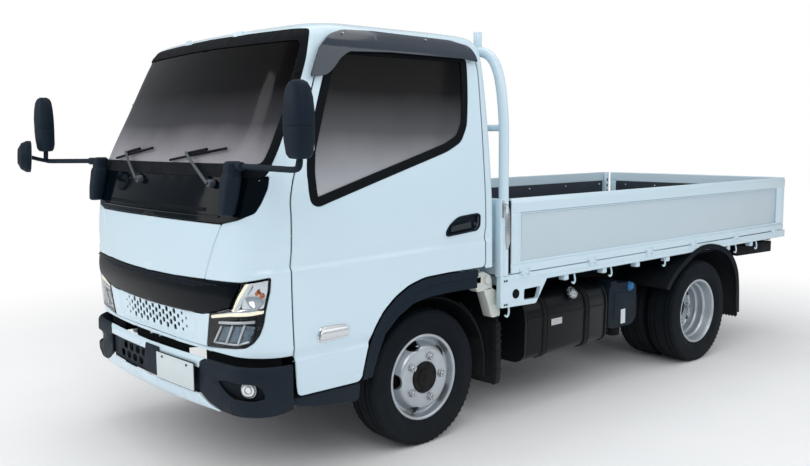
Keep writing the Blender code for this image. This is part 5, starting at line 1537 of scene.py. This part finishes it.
piece("reservoir_cap", bm, "milky_plastic", "chassis")


def front_flap(bm):
    outline = [
        (0.4, 0.735), (0.7, 0.745), (0.755, 0.7), (0.79, 0.61), (0.8, 0.3), (0.795, 0.24), (0.77, 0.212), (0.4, 0.206)
    ]
    plate(bm, "y", (0.502, 0.512), rounded(outline, 0.025), 0.003)
    plate(
        bm, "y", (0.49, 0.524),
        rounded([(0.76, 0.56), (0.798, 0.56), (0.803, 0.3), (0.8, 0.245), (0.785, 0.215), (0.765, 0.212)], 0.012),
        0.004
    )
    for z in (0.3, 0.35, 0.4, 0.45, 0.486, 0.522):
        box(bm, (0.768, 0.806), (0.487, 0.527), (z, z + 0.008), 0.002)
    plate(bm, "x", (0.45, 0.77), arched(0.43, range(-10, 62, 6)), 0)
    for x, z in ((0.6, 0.6), (0.7, 0.58), (0.74, 0.44)):
        bar(bm, (x, 0.494, z), (x, 0.503, z), 0.007, sides=14)


both("front_flap", front_flap, "flap_rubber", "chassis", ("front_mud_flap_SIDE",))

# Rear wheel guards, and their flaps with a toothed lower edge. Points y, z
GUARD = [
    (2.082, 0.556), (2.15, 0.628), (2.25, 0.692), (2.36, 0.744), (2.43, 0.776), (2.5, 0.796), (2.58, 0.803),
    (2.66, 0.8), (2.78, 0.778), (2.905, 0.728), (2.985, 0.655), (3.038, 0.57), (3.058, 0.45), (3.068, 0.26)
]


def guard(bm):
    path = [(p[0], p[1]) for p in bent([(a, b, 0) for a, b in GUARD], 0.05, 3)]
    middle = Vector((WHEELBASE + 0.08, 0.36))
    inner = [tuple(middle + (Vector(p) - middle) * 0.985) for p in path]
    rim = [tuple(middle + (Vector(p) - middle) * 0.925) for p in path]
    low = [(a, min(b, 0.757)) for a, b in path]
    plate(bm, "x", (0.43, 0.8395), low + [(a, min(b, 0.751)) for a, b in inner[::-1]], 0)
    plate(bm, "x", (0.8385, 0.848), path + rim[::-1], 0)
    pipe(bm, [(0.847, a, b) for a, b in path], 0.0035, 8)


def guard_flap(bm):
    teeth = []
    for k in range(17):
        teeth += [(0.44 + 0.0234 * k, 0.236), (0.4517 + 0.0234 * k, 0.224)]
    plate(bm, "y", (3.054, 3.064), teeth + [(0.838, 0.236), (0.838, 0.48), (0.44, 0.48)])


both("rear_guard", guard, "flap_rubber", "chassis", ("rear_mudguard_SIDE",))
both("rear_flap", guard_flap, "flap_rubber", "chassis")

# Bed: deck, cross beams, side rails with hooks and blocks, gussets and corner posts
bm = bmesh.new()
box(bm, (-0.776, 0.776), (0.545, 3.735), (0.803, 0.829), 0.003)
for k in range(9):
    box(bm, (-0.762, 0.762), (0.578 + 0.344 * k, 0.582 + 0.344 * k), (0.826, 0.8295), 0)
piece("deck", bm, "deck_paint", "chassis", ("bed_floor",))
bm = bmesh.new()
for k in range(9):
    box(bm, (-0.776, 0.776), (0.64 + 0.374 * k, 0.69 + 0.374 * k), (0.74, 0.803), 0.004)
for s in (-1, 1):
    box(bm, (s * 0.36, s * 0.43), (0.5, 3.62), (0.664, 0.742), 0.006)
piece("deck_beams", bm, "chassis_paint", "chassis")
bm = bmesh.new()
box(bm, (-0.812, 0.812), (0.536, 0.56), (0.752, 0.802), 0.006)
box(bm, (-0.776, 0.776), (3.69, 3.735), (0.752, 0.802), 0.005)
piece("end_beams", bm, "white_enamel", "chassis")


def rail(bm):
    outline = rounded([(0.772, 0.818), (0.842, 0.816), (0.842, 0.768), (0.834, 0.762), (0.772, 0.764)], 0.006)
    plate(bm, "y", (0.52, 3.772), outline, 0.003)
    plate(bm, "y", (0.56, 3.765), [(0.84, 0.795), (0.8445, 0.795), (0.8445, 0.788), (0.84, 0.788)], 0.001, 1)


GUSSET = [(0.474, 0.646), (0.765, 0.637), (0.858, 0.764), (0.87, 0.79), (0.474, 0.815)]
GUSSET_HOLE = [(0.664, 0.728), (0.805, 0.73), (0.784, 0.664), (0.662, 0.668)]


def gusset(bm):
    plate(bm, "x", (0.818, 0.8432), rounded(GUSSET, 0.012), 0.002)
    drill = bmesh.new()
    plate(drill, "x", (0.8, 0.86), rounded(GUSSET_HOLE, 0.012))
    bored(bm, drill)
    box(bm, (0.806, 0.819), (0.48, 0.498), (0.65, 0.812), 0.004)


def gusset_plug(bm):
    bar(bm, (0.838, 0.595, 0.711), (0.85, 0.595, 0.711), 0.027, 0.025, 28, bevel=0.004)
    for y, z in ((0.505, 0.789), (0.522, 0.789), (0.506, 0.66), (0.523, 0.66)):
        bar(bm, (0.841, y, z), (0.8455, y, z), 0.0062, sides=6)


def post(bm):
    box(bm, (0.8, 0.842), (0.474, 0.536), (0.812, 1.228), 0.006)
    box(bm, (0.776, 0.802), (3.692, 3.735), (0.812, 1.226), 0.004)


def post_rubbers(bm):
    for z in (1.045, 1.095, 1.145):
        box(bm, (0.7745, 0.7768), (3.7, 3.716), (z, z + 0.026), 0.0005, 1)
    box(bm, (0.806, 0.8375), (0.5365, 0.5605), (0.824, 1.215), 0.004)
    bar(bm, (0.815, 3.74, 0.782), (0.815, 3.785, 0.782), 0.021, sides=22, bevel=0.004)


HOOKS = (1.132, 1.494, 2.088, 3.032, 3.343)


def hooks(bm):
    for y in HOOKS:
        pipe(
            bm,
            [
                (0.82, y, 0.766), (0.828, y, 0.735), (0.829, y, 0.715), (0.829, y - 0.014, 0.703),
                (0.829, y - 0.028, 0.713)
            ],
            0.0058, 10, 0.012
        )
    pipe(
        bm,
        [
            (0.826, 0.556, 0.655), (0.829, 0.556, 0.62), (0.829, 0.552, 0.598), (0.829, 0.538, 0.589),
            (0.829, 0.526, 0.6)
        ],
        0.0058, 10, 0.01
    )
    for y in (1.05, 1.42, 1.773, 2.12, 2.919, 3.258):
        box(bm, (0.79, 0.832), (y - 0.02, y + 0.02), (0.732, 0.766), 0.003)
        bar(bm, (0.831, y, 0.748), (0.836, y, 0.748), 0.0055, sides=12)


both("side_rail", rail, "white_enamel", "chassis")
both("gusset", gusset, "white_enamel", "chassis", soft=30)
both("gusset_fixings", gusset_plug, "seal_rubber", "chassis", soft=40)
both("bed_posts", post, "white_enamel", "chassis")
both("post_rubbers", post_rubbers, "seal_rubber", "chassis", soft=40)
both("rope_hooks", hooks, "white_enamel", "chassis", soft=50)

# Gates: frame, recessed sheet, inner liner with bolts, and hinges
HINGES = (0.67, 1.275, 1.878, 2.409, 2.992, 3.576)
HINGE_Z = 0.816  # height of the side gates' pivots, as in the frame
GATE_SPAN = 0.562, 3.745  # ends of a side gate
SHEET_SPAN = 0.878, 1.152  # lower and upper edge of the recessed sheets
LINER_SPAN = 0.85, 1.15
END_BAR_SPAN = 0.88, 1.15
TAIL_HINGES = (-0.55, 0.0, 0.55)
TAIL_HINGE_Z = 0.8225
gates = ("left_gate", "right_gate")


def gate_frame(bm):
    top = rounded([(0.811, 1.148), (0.8405, 1.148), (0.8415, 1.2), (0.836, 1.226), (0.813, 1.226)], 0.006)
    plate(bm, "y", GATE_SPAN, top, 0.003)
    low = rounded(
        [
            (0.811, 0.822), (0.8405, 0.822), (0.8405, 0.858), (0.834, 0.862), (0.834, 0.868), (0.8395, 0.872),
            (0.8395, 0.882), (0.811, 0.882)
        ],
        0.003, 2
    )
    plate(bm, "y", GATE_SPAN, low, 0.002)
    for y in ((0.563, 0.64), (3.62, 3.744)):
        box(bm, (0.8112, 0.8398), y, END_BAR_SPAN, 0.003)
    pipe(
        bm, [(0.8372, 0.644, 0.886), (0.8372, 0.644, 1.143), (0.8372, 3.616, 1.143), (0.8372, 3.616, 0.886)], 0.003, 8
    )


def gate_bolts(bm):
    for k in range(7):
        y = 0.72 + 0.485 * k
        bar(bm, (0.8062, y, 1.118), (0.8015, y, 1.118), 0.0095, 0.006, 16)


def gate_hinges(bm):
    for y in HINGES:
        box(bm, (0.839, 0.8455), (y - 0.044, y + 0.044), (0.826, 0.842), 0.0015)
        box(bm, (0.8445, 0.8485), (y - 0.027, y + 0.027), (0.815, 0.832), 0.001)
        bar(bm, (0.847, y - 0.028, HINGE_Z), (0.847, y + 0.028, HINGE_Z), 0.0045, sides=14)
        for dy in (-0.034, 0.034):
            bar(bm, (0.845, y + dy, 0.834), (0.8485, y + dy, 0.834), 0.0045, sides=10)


def rail_hinges(bm):
    for y in HINGES:
        box(bm, (0.841, 0.847), (y - 0.02, y + 0.02), (0.79, 0.815), 0.0015)
        for dy in (-0.034, 0.034):
            bar(bm, (0.847, y + dy - 0.005, HINGE_Z), (0.847, y + dy + 0.005, HINGE_Z), 0.0075, sides=14, bevel=0.001)
            box(bm, (0.839, 0.846), (y + dy - 0.008, y + dy + 0.008), (0.79, 0.821), 0.001)


both("gate_frame", gate_frame, "white_enamel", gates, ("side_gate_SIDE",))
both("gate_sheet", lambda bm: box(bm, (0.8165, 0.8325), (0.636, 3.624), SHEET_SPAN, 0.002), "gate_enamel", gates)
both("gate_liner", lambda bm: box(bm, (0.8055, 0.8118), (0.6, 3.68), LINER_SPAN, 0.002), "liner_board", gates)
both("gate_bolts", gate_bolts, "bright_steel", gates)
both("gate_hinges", gate_hinges, "white_enamel", gates, soft=50)
both("rail_hinges", rail_hinges, "white_enamel", "chassis", soft=50)


def latch(bm):
    box(bm, (0.8405, 0.8465), (0.482, 0.505), (1.13, 1.222), 0.002)
    bar(bm, (0.8405, 0.493, 1.198), (0.856, 0.493, 1.198), 0.008, sides=14, bevel=0.001)
    bar(bm, (0.8405, 0.512, 1.136), (0.858, 0.512, 1.136), 0.008, sides=14, bevel=0.001)
    box(bm, (0.8465, 0.8555), (0.486, 0.5), (1.13, 1.205), 0.002)
    outline = rounded([(0.5, 1.15), (0.53, 1.15), (0.534, 1.0), (0.516, 0.958), (0.506, 0.962), (0.5, 1.02)], 0.006)
    plate(bm, "x", (0.8475, 0.8565), outline, 0.002)
    pipe(bm, [(0.85, 0.492, 1.2), (0.85, 0.52, 1.196), (0.85, 0.53, 1.15)], 0.004, 10, 0.01)


both("gate_latch", latch, "bright_steel", "chassis", soft=40)
bm = bmesh.new()
top = rounded([(3.739, 1.148), (3.769, 1.148), (3.7695, 1.2), (3.765, 1.226), (3.741, 1.226)], 0.006)
plate(bm, "x", (-0.765, 0.765), top, 0.003)
plate(
    bm, "x", (-0.765, 0.765), rounded([(3.739, 0.822), (3.769, 0.822), (3.769, 0.882), (3.739, 0.882)], 0.004), 0.002
)
for x in ((-0.764, -0.69), (0.69, 0.764)):
    box(bm, x, (3.7392, 3.768), END_BAR_SPAN, 0.003)
piece("tail_frame", bm, "white_enamel", "tail_gate", ("tail_gate",))
bm = bmesh.new()
box(bm, (-0.694, 0.694), (3.744, 3.76), SHEET_SPAN, 0.002)
piece("tail_sheet", bm, "gate_enamel", "tail_gate")
bm = bmesh.new()
box(bm, (-0.7, 0.7), (3.7335, 3.7398), LINER_SPAN, 0.002)
piece("tail_liner", bm, "liner_board", "tail_gate")
bm = bmesh.new()
for k in range(5):
    bar(bm, (-0.6 + 0.3 * k, 3.734, 1.118), (-0.6 + 0.3 * k, 3.7295, 1.118), 0.0095, 0.006, 16)
piece("tail_bolts", bm, "bright_steel", "tail_gate")
bm = bmesh.new()
for x in TAIL_HINGES:
    box(bm, (x - 0.044, x + 0.044), (3.767, 3.773), (0.826, 0.842), 0.0015)
    bar(bm, (x - 0.028, 3.7735, TAIL_HINGE_Z), (x + 0.028, 3.7735, TAIL_HINGE_Z), 0.0075, sides=14, bevel=0.001)
piece("tail_hinges", bm, "white_enamel", "tail_gate", soft=50)
bm = bmesh.new()
for x in TAIL_HINGES:
    for dx in (-0.037, 0.037):
        bar(
            bm, (x + dx - 0.008, 3.773, TAIL_HINGE_Z), (x + dx + 0.008, 3.773, TAIL_HINGE_Z), 0.0085, sides=14,
            bevel=0.001
        )
        box(bm, (x + dx - 0.008, x + dx + 0.008), (3.733, 3.774), (0.79, 0.8205), 0.001)
piece("tail_rail_hinges", bm, "white_enamel", "chassis", soft=50)

# Headboard with its guard hoop over the cab's back
bm = bmesh.new()
hoop = [(0.826, 0.513, 0.82), (0.826, 0.513, 1.64), (0.8, 0.511, 1.86), (0.745, 0.509, 1.975), (0.64, 0.508, 2.012)]
pipe(bm, hoop + [(-x, y, z) for x, y, z in hoop[::-1]], 0.027, 20, 0.09)
for s in (-1, 1):
    bar(bm, (s * 0.64, 0.508, 2.005), (s * 0.64, 0.508, 2.108), 0.022, sides=22, bevel=0.003)
    pipe(bm, [(s * 0.403, 0.512, 1.22), (s * 0.403, 0.51, 2.008)], 0.017, 16)
pipe(bm, [(-0.815, 0.512, 1.6), (0.815, 0.512, 1.6)], 0.017, 16)
piece("guard_hoop", bm, "white_enamel", "chassis", ("headboard_frame",), soft=45)
bm = bmesh.new()
box(bm, (-0.8, 0.8), (0.504, 0.536), (1.15, 1.226), 0.006)
box(bm, (-0.8, 0.8), (0.504, 0.536), (0.816, 0.88), 0.004)
for x in (-0.765, -0.4, 0.0, 0.4, 0.765):
    box(bm, (x - 0.028, x + 0.028), (0.505, 0.53), (0.878, 1.152), 0.003)
box(bm, (-0.79, 0.79), (0.519, 0.526), (0.87, 1.16), 0.001)
piece("headboard_frame_bars", bm, "white_enamel", "chassis")
bm = bmesh.new()
box(bm, (-0.77, 0.77), (0.5362, 0.5422), LINER_SPAN, 0.002)
piece("headboard_liner", bm, "liner_board", "chassis")

# Under the tail: dark panel with lamps and a blank plate
bm = bmesh.new()
plate(bm, "x", (-0.8, 0.8), rounded([(3.085, 0.738), (3.64, 0.738), (3.64, 0.655), (3.1, 0.668)], 0.01), 0.003)
box(bm, (-0.4, 0.4), (3.6, 3.64), (0.56, 0.68), 0.008)
piece("tail_panel", bm, "chassis_paint", "chassis", ("rear_bar_and_lamps",))


def tail_lamps(bm):
    box(bm, (0.47, 0.74), (3.64, 3.664), (0.668, 0.732), 0.006)


def tail_lens(bm):
    box(bm, (0.478, 0.556), (3.662, 3.672), (0.676, 0.724), 0.004)
    box(bm, (0.654, 0.732), (3.662, 3.672), (0.676, 0.724), 0.004)


both("tail_lamp_body", tail_lamps, "grained_plastic", "chassis")
both("tail_lens", tail_lens, "red_lens", "chassis")
both("tail_amber", lambda bm: box(bm, (0.56, 0.65), (3.662, 3.672), (0.676, 0.724), 0.004), "amber", "chassis")
bm = bmesh.new()
box(bm, (-0.165, 0.165), (3.644, 3.647), (0.575, 0.665), 0.001)
piece("rear_plate", bm, "plate_sheet", "chassis")


# Seats: padded cushions over a plain base
def pad(bm, x, y, z, crown, tilt=0.0, pivot=(0, 0, 0)):
    centre = Vector([(a[0] + a[1]) / 2 for a in (x, y, z)])
    half = Vector([abs(a[1] - a[0]) / 2 for a in (x, y, z)])
    made = bmesh.ops.create_cube(bm, size=2.0)["verts"]
    edges = list({e for v in made for e in v.link_edges})
    bmesh.ops.subdivide_edges(bm, edges=edges, cuts=9, use_grid_fill=True)
    spots = bm.verts[:]
    for v in spots:
        a, b, c = v.co
        power = (abs(a) ** 8 + abs(b) ** 8 + abs(c) ** 8) ** (1 / 8)
        shape = Vector((a, b, c)) / max(power, 1e-6) * max(abs(a), abs(b), abs(c))
        full = crown * (1 - a * a) * (1 - (b * b if half.z < half.y else c * c))
        seam = 0.006 * math.exp(-(((abs(a) - 0.62) * half.x / 0.008) ** 2))
        axis = 2 if half.z < half.y else 1
        shape = Vector((shape.x * half.x, shape.y * half.y, shape.z * half.z))
        shape[axis] += math.copysign(full - seam, (c if axis == 2 else b) or 1.0) * (abs(c if axis == 2 else b) > 0.3)
        v.co = centre + shape
    if tilt:
        turned = Matrix.Translation(pivot) @ Matrix.Rotation(
            math.radians(tilt), 4, "X"
        ) @ Matrix.Translation(-Vector(pivot))
        bmesh.ops.transform(bm, matrix=turned, verts=spots)


for side, s in (("left", 1), ("right", -1)):
    x = sorted((s * 0.34, s * 0.72))
    bm = bmesh.new()
    pad(bm, x, (-0.285, 0.19), (1.045, 1.185), 0.012)
    cushion = piece(f"seat_cushion_{side}", bm, "seat_cloth", "cab", (f"seat_{side}",), soft=60)
    bm = bmesh.new()
    pad(bm, x, (0.185, 0.29), (1.17, 1.64), 0.01, -4, (0, 0.2, 1.2))
    back = piece(f"seat_back_{side}", bm, "seat_cloth", "cab", soft=60)
    bm = bmesh.new()
    pad(bm, sorted((s * 0.43, s * 0.63)), (0.225, 0.3), (1.63, 1.714), 0.006)
    rest = piece(f"head_rest_{side}", bm, "seat_cloth", "cab", soft=60)
    bm = bmesh.new()
    box(bm, x, (-0.27, 0.3), (0.8215, 1.05), 0.015)
    piece(f"seat_base_{side}", bm, "cab_trim", "cab")

# CAD solids that keep their shape get these finishes
KEPT = {
    "chassis_frame": "chassis_paint",
    "front_axle_and_springs": "cast_iron",
    "rear_axle_and_springs": "cast_iron",
    "engine_block": "cast_iron",
    "gearbox_and_shaft": "cast_iron",
    "steering_knuckle_left": "cast_iron",
    "steering_knuckle_right": "cast_iron",
    "tie_rod": "cast_iron",
    "battery_box": "grained_plastic",
    "silencer": "wheel_silver",
    "cab_floor": "chassis_paint",
    "dashboard": "cab_trim",
    "steering_wheel": "cab_trim",
    # The rear window takes the door glass colour, a painted sky reflection fading into painted shade
    "rear_window": "door_glass",
}
for name, look in KEPT.items():
    frame["nodes"][name].material_slots[0].material = MATERIALS.get(look) or finish(look)
